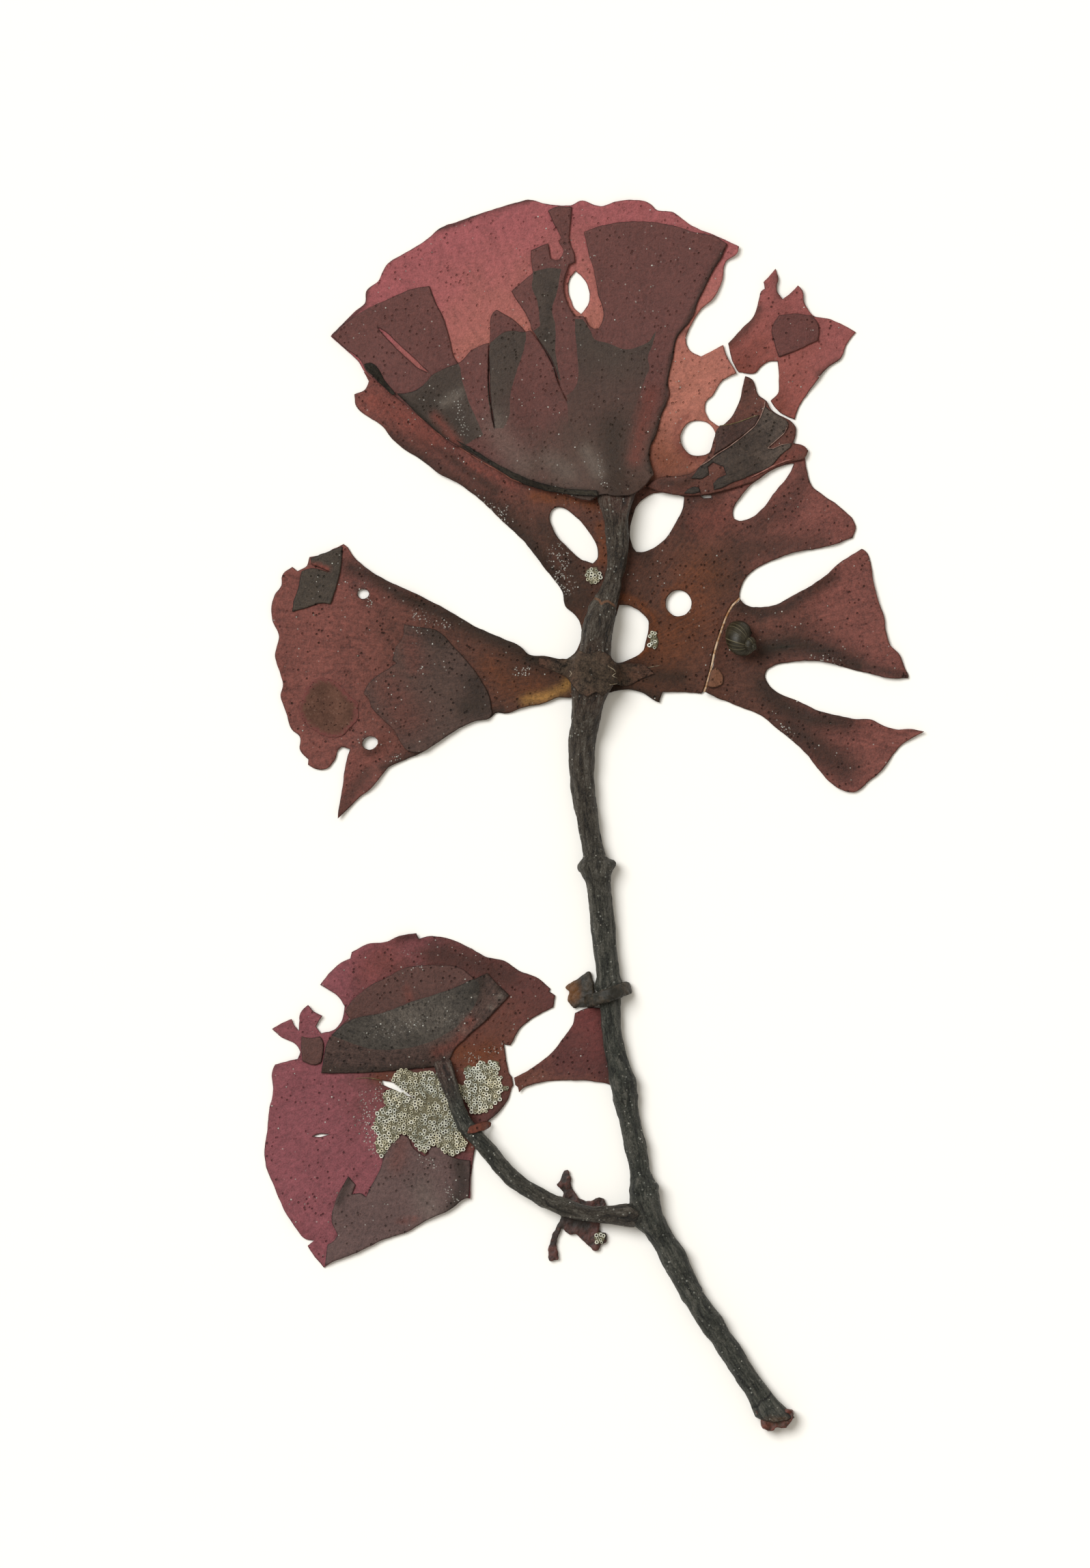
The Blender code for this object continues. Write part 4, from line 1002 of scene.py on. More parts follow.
        "salt": [(0.6, 0.8, [(-11, -28.6), (-10.6, -29.2)]), (0.5, 0.5, [(-13.4, -26), (-12, -26.6)])],
    },
    "middle_overlap": {
        "dark": [
            (0.9, 0.6, [(-12.8, 14.2), (-11.6, 13.4)]), (1.0, 0.7, [(-9.6, 8.2), (-8.6, 8.2), (-9, 10)]),
        ],
        "red": [(1.6, 0.4, [(-15.6, 9.6), (-14.2, 7.2)]), (0.9, 0.4, [(-14, 13), (-13.6, 11.4)])],
        "salt": [
            (0.2, 1.0, [(-13.15, 10.9), (-13.1, 11.2)]), (0.25, 0.9, [(-17.2, 10)]),
            (0.4, 0.6, [(-13.6, 14), (-12.8, 13.9)]),
        ],
    },
    "middle_corner_flap": {
        "red": [(0.16, 0.9, [(-21.4, 19), (-20.6, 18.8), (-20.1, 18.6)])],
    },
    "old_blade_wedge": {
        "dark": [(0.35, 0.5, [(0.7, -14.4), (1.0, -17), (1.2, -20)])],
        "salt": [(0.7, 0.3, [(-2.6, -18.4), (-0.6, -17.6)])],
    },
}
STAIN_AND_SHADE_KINDS = (*STAIN_AND_SHADE_COLORS, "salt")


def stroke_values(points, strokes):
    """How strongly these strokes tint each point."""
    total = np.zeros(len(points))
    for width, strength, line in strokes:
        line = line if len(line) > 1 else [line[0], (line[0][0] + 0.01, line[0][1])]
        distance = along_line(points, line)[2]
        total = np.maximum(total, strength * np.exp(-(distance / width) ** 2))
    return total


print("strokes:", sum(len(lines) for kinds in STAINS_AND_SHADE.values() for lines in kinds.values()))

# %% Centre lines of the stem and the branch, in mm
STEM_LINE = [(1.6, 23.9), (1.7, 20.0), (1.3, 17.5), (0.6, 15.5), (0.05, 13.0), (-0.15, 10.0), (-0.7, 7.0),
             (-0.95, 4.0), (-0.6, 1.0), (0.1, -3.0), (0.35, -6.0), (1.1, -13.0), (1.6, -18.0), (2.2, -20.0),
             (3.1, -25.0), (3.8, -29.0), (5.1, -32.0), (6.7, -35.0), (9.2, -39.2), (13.0, -44.7)]
BRANCH_LINE = [(3.7, -30.2), (0.0, -30.2), (-3.2, -29.3), (-6.2, -27.4), (-8.8, -24.5), (-10.4, -22.0),
               (-11.2, -19.8)]
print("stem line points:", len(STEM_LINE))

# %% The sheets in the order in which they lie
CROWN_HUB = (1.7, 22.6, 100)
MIDDLE_HUB = (0.0, 10.7, 90)
SIDE_HUB = (-9.0, -17.5, 180)
YOUNG_HUB = (-11.4, -19.4, 110)
WEDGE_HUB = (0.4, -15.0, 240)
# name: finish, hub, thickness, height kept at the hub, its reach, rounds of settling, sheets below
SHEETS = {
    "middle_blade": (MIDDLE, MIDDLE_HUB, 0.15, 0.3, 4.0, 20, []),
    "broken_right_lobe": (MIDDLE, MIDDLE_HUB, 0.15, 0.0, 4.0, 20, []),
    "broken_upper_lobe": (BROKEN, CROWN_HUB, 0.12, 0.0, 4.0, 20, []),
    "side_blade": (SIDE, SIDE_HUB, 0.12, 0.12, 3.0, 20, []),
    "old_blade_wedge": (WEDGE, WEDGE_HUB, 0.12, 0.1, 3.0, 20, []),
    "middle_overlap": (MIDDLE, MIDDLE_HUB, 0.09, 0.0, 4.0, 8, ["middle_blade"]),
    "middle_corner_flap": (MIDDLE, MIDDLE_HUB, 0.1, 0.0, 4.0, 8, ["middle_blade"]),
    "side_folded_lobe": (MAUVE, SIDE_HUB, 0.1, 0.0, 4.0, 12, ["side_blade"]),
    "side_upper_lobe": (SIDE, YOUNG_HUB, 0.1, 0.0, 4.0, 12, ["side_blade"]),
    "side_corner_flap": (SIDE, SIDE_HUB, 0.1, 0.0, 4.0, 12, ["side_blade"]),
    "side_young_blade": (YOUNG, YOUNG_HUB, 0.12, 0.22, 2.6, 25, ["side_blade", "side_upper_lobe"]),
    "crown_back": (CROWN, CROWN_HUB, 0.12, 0.4, 6.0, 50, []),
    "upper_lobe_patch": (BROKEN, CROWN_HUB, 0.08, 0.0, 4.0, 8, ["broken_upper_lobe"]),
    "crown_left_lobe": (CROWN, CROWN_HUB, 0.09, 0.0, 4.0, 10, ["crown_back"]),
    "crown_tip_lobe": (CROWN, CROWN_HUB, 0.09, 0.0, 4.0, 10, ["crown_back"]),
    "crown_hidden_tongue": (CROWN, CROWN_HUB, 0.09, 0.0, 4.0, 10, ["crown_back"]),
    "crown_young_blade": (CROWN, CROWN_HUB, 0.1, 0.6, 5.0, 20, ["crown_back"]),
    "crown_folded_lobe": (FOLDED, CROWN_HUB, 0.17, 0.4, 6.0, 20, ["crown_back"]),
    "crown_front": (CROWN, CROWN_HUB, 0.1, 1.0, 6.5, 40,
                    ["crown_back", "crown_left_lobe", "crown_tip_lobe", "crown_hidden_tongue",
                     "crown_young_blade"]),
}
LAYERS_AT_LEAST = {"middle_corner_flap": 3, "side_young_blade": 2}
CRACKS = [("middle_blade", "broken_right_lobe"), ("side_blade", "old_blade_wedge")]
CRACK_WIDTH = 0.13              # mm
SLIT_WIDTH = 0.07               # mm, of the crown's closed slits
WEDGE_GROWS = 0.6               # mm, so that the wedge goes under the stipe
WEDGE_RISES = 0.4               # mm, so that its upper edge meets the collar
UNDULATION = 0.03               # mm, on every sheet
CURL, INNER_CURL = 0.34, 0.05   # mm, at the margins of free sheets and of sheets that lie on others
STEM_RIDGE = (0.34, 1.5)        # mm, the middle blade rises under the stipe by this, over this width


def sheet_outlines():
    """The torn outlines of all sheets, with narrow cracks closed up."""
    found = {name: [rounded(loop) for loop in plan_loops(name)] for name in SHEETS}
    wedge = found["old_blade_wedge"][0]
    wedge[:, 0] += WEDGE_GROWS * np.clip((wedge[:, 0] + 2) / 2, 0, 1) ** 2
    upper = np.clip(wedge[:, 1] + 15.6, 0, 0.6) / 0.6
    wedge[:, 1] += WEDGE_RISES * np.clip((wedge[:, 0] + 1.7) / 1.4, 0, 1) * upper
    pairs = CRACKS + [(b, a) for a, b in CRACKS]
    moved = {name: narrowed(found[name][0], found[other][0], CRACK_WIDTH) for name, other in pairs}
    moved["crown_front"] = narrowed(found["crown_front"][0], found["crown_front"][0], SLIT_WIDTH)
    for name, loop in moved.items():
        found[name][0] = loop
    return {name: [frayed(loop, seed=number) for loop in found[name]] for number, name in enumerate(SHEETS)}


outlines = sheet_outlines()
print("outline points:", {name: sum(len(loop) for loop in loops) for name, loops in outlines.items()})

# %% One sheet
def make_sheet(number, name):
    finish, hub, thickness, lift, reach, rounds, below = SHEETS[name]
    loops = outlines[name]
    points, faces = fill(loops, [loop for other in below for loop in outlines[other]], GRID, number)
    x, y = points.T
    lifted = lift * bulge(points, hub[:2], reach)
    if name == "middle_blade":
        beside = along_line(points, STEM_LINE[:6])[2]
        lifted = np.maximum(lifted, STEM_RIDGE[0] * np.exp(-(beside / STEM_RIDGE[1]) ** 2))
    under = settle(points, faces, lifted, rounds)
    edge = margin_distance(points, loops)
    curl = INNER_CURL if below else CURL
    under = under + UNDULATION * (1 + rough_noise(x, y, 3.5, number))
    under = under + curl * np.exp(-edge / 0.8) * np.clip(rough_noise(x, y, 2.8, number + 3) + 0.1, 0, 1)
    middles = points[faces].mean(1)
    layers = np.ones(len(faces))
    for other in below:
        layers += inside(middles, outlines[other])
    layers = np.maximum(layers, LAYERS_AT_LEAST.get(name, 2 if below else 1))
    add_to_pile(points, under + thickness)
    mesh = sheet_mesh(name, points, faces, under, thickness, loops, layers, hub)
    strokes = STAINS_AND_SHADE.get(name, {})
    for kind in STAIN_AND_SHADE_KINDS:
        set_values(mesh, kind, np.tile(stroke_values(points, strokes.get(kind, [])), 2))
    mesh.materials.append(finish)
    declare(place_object(name + "_sheet", mesh), name)
    return len(mesh.polygons)


LOWER_SHEETS = [name for name in SHEETS if not name.startswith(("crown", "upper"))]
for number, name in enumerate(LOWER_SHEETS):
    print(name, make_sheet(number, name), "faces")

# %% [markdown]
# The forked stipe
# The stipe is a dried stalk: smooth and round when alive, now shrunk into fine wrinkles that run along it.
# The frame has it as one solid with a branch. Its surface is made dense by a voxel remesh, which also
# melts the fork into one skin, and is then smoothed. A wrinkle must know which way is along, so each
# point stores its place across the stipe and its distance along the nearest centre line. A Geometry
# Nodes tree reads that, shortens the along part and pushes the surface in and out with a noise. At last
# the ends are drawn out to where they go: under the crown, into the young blade and over the holdfast.

# %% The stem counts as wider than the branch
STEM_REACH = 1.5                # mm, half of it is taken off the distance to the stem


print("stem length in mm:", round(float(along_line(np.array([STEM_LINE[-1]]), STEM_LINE)[0][0]), 1))

# %% A dense skin over a node of the frame
def dense_skin(node, voxel, smoothing):
    """A copy of the node, merged, remeshed at this voxel in millimetres and smoothed."""
    mesh = bmesh.new()
    mesh.from_mesh(frame["nodes"][node].data)
    bmesh.ops.remove_doubles(mesh, verts=mesh.verts, dist=1e-6)
    bmesh.ops.scale(mesh, vec=(1 / MM, 1 / MM, 1 / MM), verts=mesh.verts)
    copy = bpy.data.meshes.new(node + "_copy")
    mesh.to_mesh(copy)
    mesh.free()
    thing = place_object(node + "_dense", copy)
    remesh = thing.modifiers.new("voxels", "REMESH")
    remesh.mode = "VOXEL"
    remesh.voxel_size = voxel
    smooth = thing.modifiers.new("smooth", "SMOOTH")
    smooth.factor = 0.5
    smooth.iterations = smoothing
    dense = applied(thing)
    bpy.data.objects.remove(thing)
    dense.transform(Matrix.Scale(MM, 4))
    shade_smooth(dense)
    return dense

# %% The wrinkle tree
def wrinkle_tree():
    """Pushes a surface along its normals by a noise that is stretched along the stored grain."""
    g = Growth("dried_wrinkles")
    depth, size = g.input("Depth", "Float"), g.input("Wrinkle Size", "Float")
    lump_depth, lump_size = g.input("Lump Depth", "Float"), g.input("Lump Size", "Float")
    stretch, seed = g.input("Stretch", "Float"), g.input("Seed", "Float")
    grain = g.stored("grain", "FLOAT_VECTOR")
    ways = g.node("ShaderNodeCombineXYZ", X=1.0 / size, Y=1.0 / size, Z=1.0 / (size * stretch))
    four = {"noise_dimensions": "4D"}
    noise = g.node("ShaderNodeTexNoise", settings=four, Vector=g.stretch(grain, ways), W=seed, Scale=1.0,
                   Detail=4.0, Roughness=0.62)
    soft = g.node("ShaderNodeCombineXYZ", X=1.0 / lump_size, Y=1.0 / lump_size, Z=0.5 / lump_size)
    lumps = g.node("ShaderNodeTexNoise", settings=four, Vector=g.stretch(grain, soft), W=seed + 7.0,
                   Scale=1.0, Detail=2.0)
    push = (noise - 0.5) * depth * 2.0 + (lumps - 0.5) * lump_depth * 2.0
    normal = g.node("GeometryNodeInputNormal")
    offset = g.node("ShaderNodeVectorMath", settings={"operation": "SCALE"}, slots={0: normal, 3: push})
    height = g.node("GeometryNodeStoreNamedAttribute", Geometry=g.base, Name="ridge", Value=noise)
    g.end(g.node("GeometryNodeSetPosition", Geometry=height, Offset=offset))
    return g


WRINKLES = wrinkle_tree()


def wrinkled(mesh, depth, size, lump_depth, lump_size, stretch, seed, finish):
    """The mesh with wrinkles and lumps of these depths and sizes in millimetres."""
    base = place_object("wrinkle_base", mesh)
    grown = WRINKLES.run(base, Depth=depth * MM, Wrinkle_Size=size, Lump_Depth=lump_depth * MM,
                         Lump_Size=lump_size, Stretch=stretch, Seed=seed, Material=finish)
    bpy.data.objects.remove(base)
    return grown


print("inputs of the wrinkle tree:", list(WRINKLES.inputs))

# %% The stipe's finish
RING_LINE = [(-0.45, 16.2), (0.1, 16.4), (0.35, 16.3), (0.55, 15.95), (0.75, 16.15), (1.05, 16.2),
             (1.5, 15.9), (1.9, 15.6)]
HUB_SPOT = ((-0.1, 10.6), (2.3, 2.4))
BASE_SPOT = ((13.9, -46.0), (1.2, 0.6))
BASE_CRACK = [(11.8, -44.95), (12.4, -44.8), (12.6, -44.4), (13.1, -44.2), (13.5, -43.7)]
FLARE_SPOT = ((2.2, 24.0), (1.6, 1.5))
FORK_SPOT = ((0.6, -30.1), (2.6, 1.0))
STALK_SPOT = ((-11.4, -18.9), (1.3, 2.0))


def stipe_finish():
    f = Finish("stipe_skin")
    grain, here = f.attribute("grain", vector=True), f.place()
    along = f.node("ShaderNodeSeparateXYZ", output=2, slots={0: grain})
    fibre = f.noise(f.stretch(grain, (1.0, 1.0, 0.3)), 7.5, 5.0, 0.75)
    streak = f.noise(f.stretch(grain, (1.0, 1.0, 0.16)), 3.4, 4.0, 0.7)
    net = f.cells(f.stretch(grain, (1.0, 1.0, 0.4)), 3.4, "DISTANCE_TO_EDGE")
    cloud, rough = f.noise(here, 0.8, 4.0, 0.6), f.noise(here, 7.0, 3.0, 0.7)
    ridge, ring = f.attribute("ridge"), f.attribute("ring")
    color = f.mix(along.ramp(14.0, 40.0), seen(74, 65, 57), seen(67, 68, 62))
    color = f.coats(color,
                    (f.spot(*FLARE_SPOT, 1.0, (cloud - 0.5) * 1.5) * 0.8, (84, 60, 52)),
                    (f.spot(*HUB_SPOT, 1.2, (cloud - 0.5) * 1.5) * 0.75, (72, 55, 46)),
                    (f.spot(*FORK_SPOT, 1.2, (cloud - 0.5) * 2.5) * 0.5, (62, 56, 50)),
                    (f.spot(*STALK_SPOT, 2.0, (cloud - 0.5) * 1.0) * 0.8, (82, 60, 54)),
                    (f.spot(*BASE_SPOT, 1.0, (cloud - 0.5) * 2.0) * 0.7, (92, 70, 54)))
    # Painted light and shade: lighter on the raised fibres, wrinkles and streaks, near black in their
    # grooves, and dark in the creases of the net.
    painted_relief_light = (fibre - 0.5) * 1.4 + (ridge - 0.5) * 1.5 + (rough - 0.5) * 1.2 + (streak - 0.5) * 2.0
    color = f.coats(color,
                    (painted_relief_light.ramp(0.0, 0.5, False) * 0.55, (122, 117, 108)),
                    ((-painted_relief_light).ramp(0.0, 0.42, False) * 0.85, (28, 24, 22)),
                    ((1 - net.ramp(0.0, 0.06)) * cloud.ramp(0.4, 0.6) * 0.5, (24, 22, 20)))
    flat = f.stretch(here, (1.0, 1.0, 0.3))
    specks = (1 - f.cells(flat, 1.7).ramp(0.05, 0.12)) * cloud.ramp(0.35, 0.5)
    color = f.mix(specks * 0.8, color, seen(185, 180, 168))
    fine = (1 - f.cells(flat, 2.6).ramp(0.1, 0.24)) * cloud.ramp(0.46, 0.58)
    color = f.coats(color,
                    (fine * 0.6, (176, 176, 166)),
                    ((1 - ring.ramp(0.05, 0.12)) * 0.8, (132, 96, 74)),
                    ((1 - f.attribute("crack").ramp(0.04, 0.12)) * 0.85, (24, 22, 20)))
    height = (fibre - 0.5) * 1.2 + (cloud - 0.5) * 0.5 + (rough - 0.5) * 0.6 + net.ramp(0.0, 0.1) * 0.3
    f.bump(height, 0.12 * MM, 1.0)
    return f.finish(color, 0.5 + (fibre - 0.5) * 0.5, 0.3)

# %% The stipe
STIPE_VOXEL, STIPE_SMOOTHING = 0.1, 9
BRANCH_START = 20               # mm, the branch's grain starts here
FAR = 1.0                       # mm, stored where a drawn line doesn't count
BLADE_FROM = 7.6                # mm, the y at which the stipe comes to lie on the middle blade
UNDER_DROP = 0.28               # mm, the underside sinks by this onto the thin blade
SHEATH = 0.07                   # mm, the older part below the ring is thicker by this
FLARE_FROM, FLARE_LENGTH = 22.4, 1.5    # mm, the upper end flares out under the crown
FLARE_STRETCH, FLARE_WIDEN = 0.9, 1.0
FLARE_AXIS = 1.45               # mm, the x of the flare's middle
STALK_FROM, STALK_LONGER = 1.5, 1.35    # mm from the branch's end, and how far its end is drawn out
STALK_WAY, STALK_SIDE = (-0.3, 0.95), (0.95, 0.3)
STALK_END, STALK_WIDEN, STALK_FLATTEN = (-11.6, -18.5), 0.5, 0.55
BASE_FROM, BASE_LONGER, BASE_WAY, BASE_SIDE = 1.6, 1.35, (0.52, -0.86), (0.9, 0.4)
BASE_END, BASE_WIDEN, BASE_RISES = (13.5, -45.4), 0.55, 0.25
CRACK_DEPTH, CRACK_REACH = 0.09, 0.1    # mm, the crack near the lower end
FORK, FORK_SWELL, FORK_REACH = (2.9, -30.4), 0.22, 1.2
SCARS = [(4.0, -21.2), (3.9, -28.2), (-0.2, -3.9), (7.4, -36.2)]    # rings left by lost blades
SCAR_SWELL, SCAR_REACH = 0.09, 0.3
KNOBS = [((-0.8, -3.85), 0.2, 0.42), ((1.75, -3.55), 0.26, 0.4), ((0.3, -13.0), 0.34, 0.5),
         ((1.9, -12.8), 0.22, 0.5)]         # place, swell and reach
FLARE_FLOOR, FLARE_FLATTEN = 0.7, 0.62


def drawn_out(points, share, longer, way, middle, side, widen):
    """Moves a stem's end on, by its share of the way, and widens it across its middle."""
    points[:, :2] += share[:, None] * longer * np.array(way)
    across = (points[:, :2] - middle) @ side
    points[:, :2] += (share * across * widen)[:, None] * np.array(side)


def build_stipe():
    mesh = dense_skin("forked_stipe", STIPE_VOXEL, STIPE_SMOOTHING)
    points = get_points(mesh)
    plan = points[:, :2]
    stem_along, stem_side, stem_gap = along_line(plan, STEM_LINE)
    branch_along, branch_side, branch_gap = along_line(plan, BRANCH_LINE)
    on_stem = stem_gap < branch_gap + STEM_REACH / 2
    along = np.where(on_stem, stem_along, BRANCH_START + branch_along)
    side = np.where(on_stem, stem_side, branch_side)
    set_vectors(mesh, "grain", np.column_stack([side, points[:, 2], along]))
    ring = along_line(plan, RING_LINE)[2]
    set_values(mesh, "ring", np.where(points[:, 2] > 1.3, ring, FAR))
    grown = wrinkled(mesh, 0.2, 0.4, 0.17, 1.2, 7.0, 4.0, stipe_finish())
    points = get_points(grown)
    y, z = points.T[1:]
    older = 1 / (1 + np.exp((y - 16.05) / 0.12)) * np.exp(-np.clip(16.05 - y, 0, None) / 2.5)
    groove = np.exp(-(ring / 0.09) ** 2) * (z > 1.2)
    swell = SHEATH * older * (y > 9) - 0.06 * groove
    swell += FORK_SWELL * bulge(plan, FORK, FORK_REACH)
    for scar in SCARS:
        from_scar = stem_along - along_line(np.array([scar]), STEM_LINE)[0]
        swell += SCAR_SWELL * np.exp(-(from_scar / SCAR_REACH) ** 2)
    for knob, rise, reach in KNOBS:
        swell += rise * bulge(plan, knob, reach)
    points = points + get_normals(grown) * swell[:, None]
    sits = np.clip((y - BLADE_FROM) / 1.5, 0, 1) * np.clip(1.5 - points[:, 2], 0, 0.85) / 0.85
    points[:, 2] -= UNDER_DROP * sits
    past = np.clip(points[:, 1] - FLARE_FROM, 0, None)
    flare = np.clip(past / FLARE_LENGTH, 0, 1) ** 1.5
    points[:, 1] += past * FLARE_STRETCH
    points[:, 2] -= (points[:, 2] - FLARE_FLOOR) * flare * FLARE_FLATTEN
    points[:, 0] += (points[:, 0] - FLARE_AXIS) * flare * FLARE_WIDEN
    drawn = np.clip((branch_along - branch_along[~on_stem].max() + STALK_FROM) / STALK_FROM, 0, 1) * ~on_stem
    drawn_out(points, drawn, STALK_LONGER, STALK_WAY, STALK_END, STALK_SIDE, STALK_WIDEN)
    points[:, 2] *= 1 - STALK_FLATTEN * drawn ** 2
    lowest = np.clip((stem_along - stem_along[on_stem].max() + BASE_FROM) / BASE_FROM, 0, 1) * on_stem
    drawn_out(points, lowest, BASE_LONGER, BASE_WAY, BASE_END, BASE_SIDE, BASE_WIDEN)
    points[:, 2] += BASE_RISES * lowest ** 2 * (points[:, 2] > 0.2)
    crack = along_line(points[:, :2], BASE_CRACK)[2]
    points[:, 2] -= CRACK_DEPTH * np.exp(-(crack / CRACK_REACH) ** 2) * (points[:, 2] > 0.8)
    set_values(grown, "crack", np.where(points[:, 2] > 0.8, crack, FAR))
    points[:, 2] = np.maximum(points[:, 2], 0.0)
    set_points(grown, points)
    declare(place_object("forked_stipe_skin", grown), "forked_stipe")
    return grown


STIPE = build_stipe()
print("stipe faces:", len(STIPE.polygons))

# %% [markdown]
# Thin tissue drawn one by one
# Some tissue is too thin for a solid of its own, so its outline is drawn here and draped like a sheet. At
# the middle blade's hub, brown tissue goes round the stipe and over it, so the stipe's surface is added
# to the pile first. Two small scales lie at the branch and on the right lobe. The others lie on the crown:
# dark doubled strips along its folds, the doubled and single parts of its folded lobe, and a dark patch of
# painted shade at the lobe's foot.

# %% Draped tissue: finish, hub, thickness in mm, outline in mm
DRAWN = {
    "hub_tissue": (HUB, (0.0, 10.7, 90), 0.06, [
        (-4.2, 11.9), (-3.0, 11.8), (-2.2, 11.75), (-1.7, 12.1), (-1.2, 12.5), (-0.4, 12.2), (0.4, 12.5),
        (1.1, 12.1), (1.6, 11.6), (2.6, 11.5), (3.8, 11.4), (4.6, 10.7), (3.4, 10.2), (2.6, 9.8),
        (2.0, 9.8), (1.5, 10.0), (1.2, 9.5), (0.6, 9.0), (0.1, 9.3), (-0.5, 8.9), (-1.1, 9.2), (-1.6, 9.7),
        (-2.1, 10.4), (-3.0, 10.9), (-4.2, 11.3)]),
    "branch_scale": (BROWN_SCALE, (-9.4, -23.9, 0), 0.07, [
        (-9.5, -23.7), (-9.0, -23.4), (-8.5, -23.25), (-8.1, -23.2), (-7.8, -23.35), (-7.85, -23.6),
        (-8.2, -23.85), (-8.7, -23.95), (-9.1, -24.1), (-9.6, -24.1)]),
    "lobe_scale": (THIN, (8, 5, 0), 0.03, [
        (8.56, 9.75), (8.72, 10.4), (8.92, 11.0), (9.2, 11.2), (9.5, 11.0), (9.8, 10.4), (9.75, 9.95),
        (9.4, 9.75), (9.0, 9.65)]),
    "fold_strip": (BLACK, (-16, 33, 0), 0.08, [
        (-17.45, 34.2), (-17.0, 34.3), (-16.6, 34.1), (-16.2, 33.6), (-15.9, 33.0), (-15.4, 32.4),
        (-15.0, 31.9), (-15.3, 31.8), (-15.8, 32.3), (-16.4, 32.9), (-16.9, 33.4), (-17.3, 33.8)]),
    "fold_line": (BLACK, (-4, 25, 0), 0.05, [
        (-10.5, 28.45), (-9.0, 27.6), (-7.5, 26.7), (-6.0, 25.9), (-4.0, 25.15), (-2.0, 24.75), (0.2, 24.6),
        (0.3, 24.15), (-2.0, 24.3), (-4.0, 24.65), (-6.0, 25.4), (-7.5, 26.35), (-9.0, 27.3)]),
    "lobe_fold": (DOUBLED_AND_SHADE, (1.7, 22.6, 0), 0.05, [
        (8.0, 26.4), (8.6, 26.75), (9.3, 27.3), (10.2, 27.85), (11.2, 28.6), (12.2, 29.45), (12.65, 30.2),
        (12.95, 31.0), (13.3, 30.7), (14.0, 30.3), (14.65, 29.85), (14.75, 29.5), (14.5, 29.1),
        (14.1, 28.65), (13.6, 28.2), (13.2, 27.9), (13.45, 27.75), (14.0, 27.95), (14.5, 28.15),
        (15.0, 28.2), (14.9, 28.0), (14.4, 27.5), (13.9, 27.0), (13.6, 26.6), (12.8, 26.1), (12.0, 25.8),
        (11.2, 25.45), (10.4, 25.15), (9.6, 24.8), (9.1, 24.65), (9.0, 25.1), (9.4, 25.5), (10.0, 25.8),
        (9.8, 26.4), (9.0, 26.7), (8.6, 26.4), (8.7, 25.8), (8.2, 25.5), (7.3, 25.5), (7.7, 26.0)]),
    "lobe_fold_upper": (SINGLE_FOLD, (1.7, 22.6, 0), 0.05, [
        (9.05, 27.25), (9.2, 28.0), (9.2, 29.0), (9.5, 29.5), (10.3, 29.6), (11.0, 29.8), (11.7, 30.05),
        (12.55, 30.35), (12.2, 29.6), (11.2, 28.75), (10.2, 28.0), (9.3, 27.45)]),
    # Painted shade: a dark patch at the foot of the folded lobe.
    "lobe_foot_shade_patch": (DOUBLED_AND_SHADE, (1.7, 22.6, 0), 0.05, [
        (6.8, 24.4), (7.2, 24.75), (7.6, 24.9), (7.95, 24.85), (8.05, 24.5), (7.4, 24.35)]),
}
BELOW_CROWN = ["hub_tissue", "branch_scale", "lobe_scale"]
DRAPE_GRID = 0.2                # mm between points


def drape(number, name):
    finish, hub, thickness, outline = DRAWN[name]
    outline = np.array(outline)[::-1]
    loops = [frayed(rounded(outline), seed=number)]
    points, faces = fill(loops, [], DRAPE_GRID, number)
    under = settle(points, faces, np.zeros(len(points)), 2)
    mesh = sheet_mesh(name, points, faces, under, thickness, loops, np.ones(len(faces)), hub)
    mesh.materials.append(finish)
    declare(place_object(name, mesh), slot="thick_blade")
    return len(mesh.polygons)


surface = get_points(STIPE)
near_hub = surface[(surface[:, 1] > 8) & (surface[:, 1] < 13.5) & (surface[:, 2] > 0.3)]
near_branch = surface[(surface[:, 0] < -7.5) & (surface[:, 2] > 0.3)]
for spots in (near_hub, near_branch):
    add_to_pile(spots[:, :2], spots[:, 2])
for number, name in enumerate(BELOW_CROWN):
    print(name, drape(number + DRAPE_SEED, name), "faces")

# %% [markdown]
# The crown
# The crown's sheets come last, because its front lobe lies over the stipe's upper end. That end is added
# to the pile first, so that the lobe rests on it like an umbrella on its stick.

# %% The stipe's end in the pile, and the crown's sheets
END_FROM = 23.6                 # mm, the y above which the stipe carries the crown
end = get_points(STIPE)
end = end[(end[:, 1] > END_FROM) & (end[:, 2] > 0.8)]
UPPER_SHEETS = [name for name in SHEETS if name not in LOWER_SHEETS]
for number, name in enumerate(UPPER_SHEETS):
    if name == "crown_front":
        add_to_pile(end[:, :2], end[:, 2])
    print(name, make_sheet(number + UPPER_SEED, name), "faces")
for number, name in enumerate(name for name in DRAWN if name not in BELOW_CROWN):
    print(name, drape(number + CROWN_DRAPE_SEED, name), "faces")

# %% [markdown]
# Remains of older blades
# Three small torn pieces are left from blades that have worn away: a collar round the stem with a flap, a
# crumpled scrap at the foot of the branch and a tuft at the stem's lower end. They are thick for their
# size and have shrunk without being pressed flat, so they get the same dense skin and wrinkle tree as
# the stipe, with shorter, rounder lumps.

# %% Crumpled remains
REMNANT_VOXEL, REMNANT_SMOOTHING = 0.08, 3


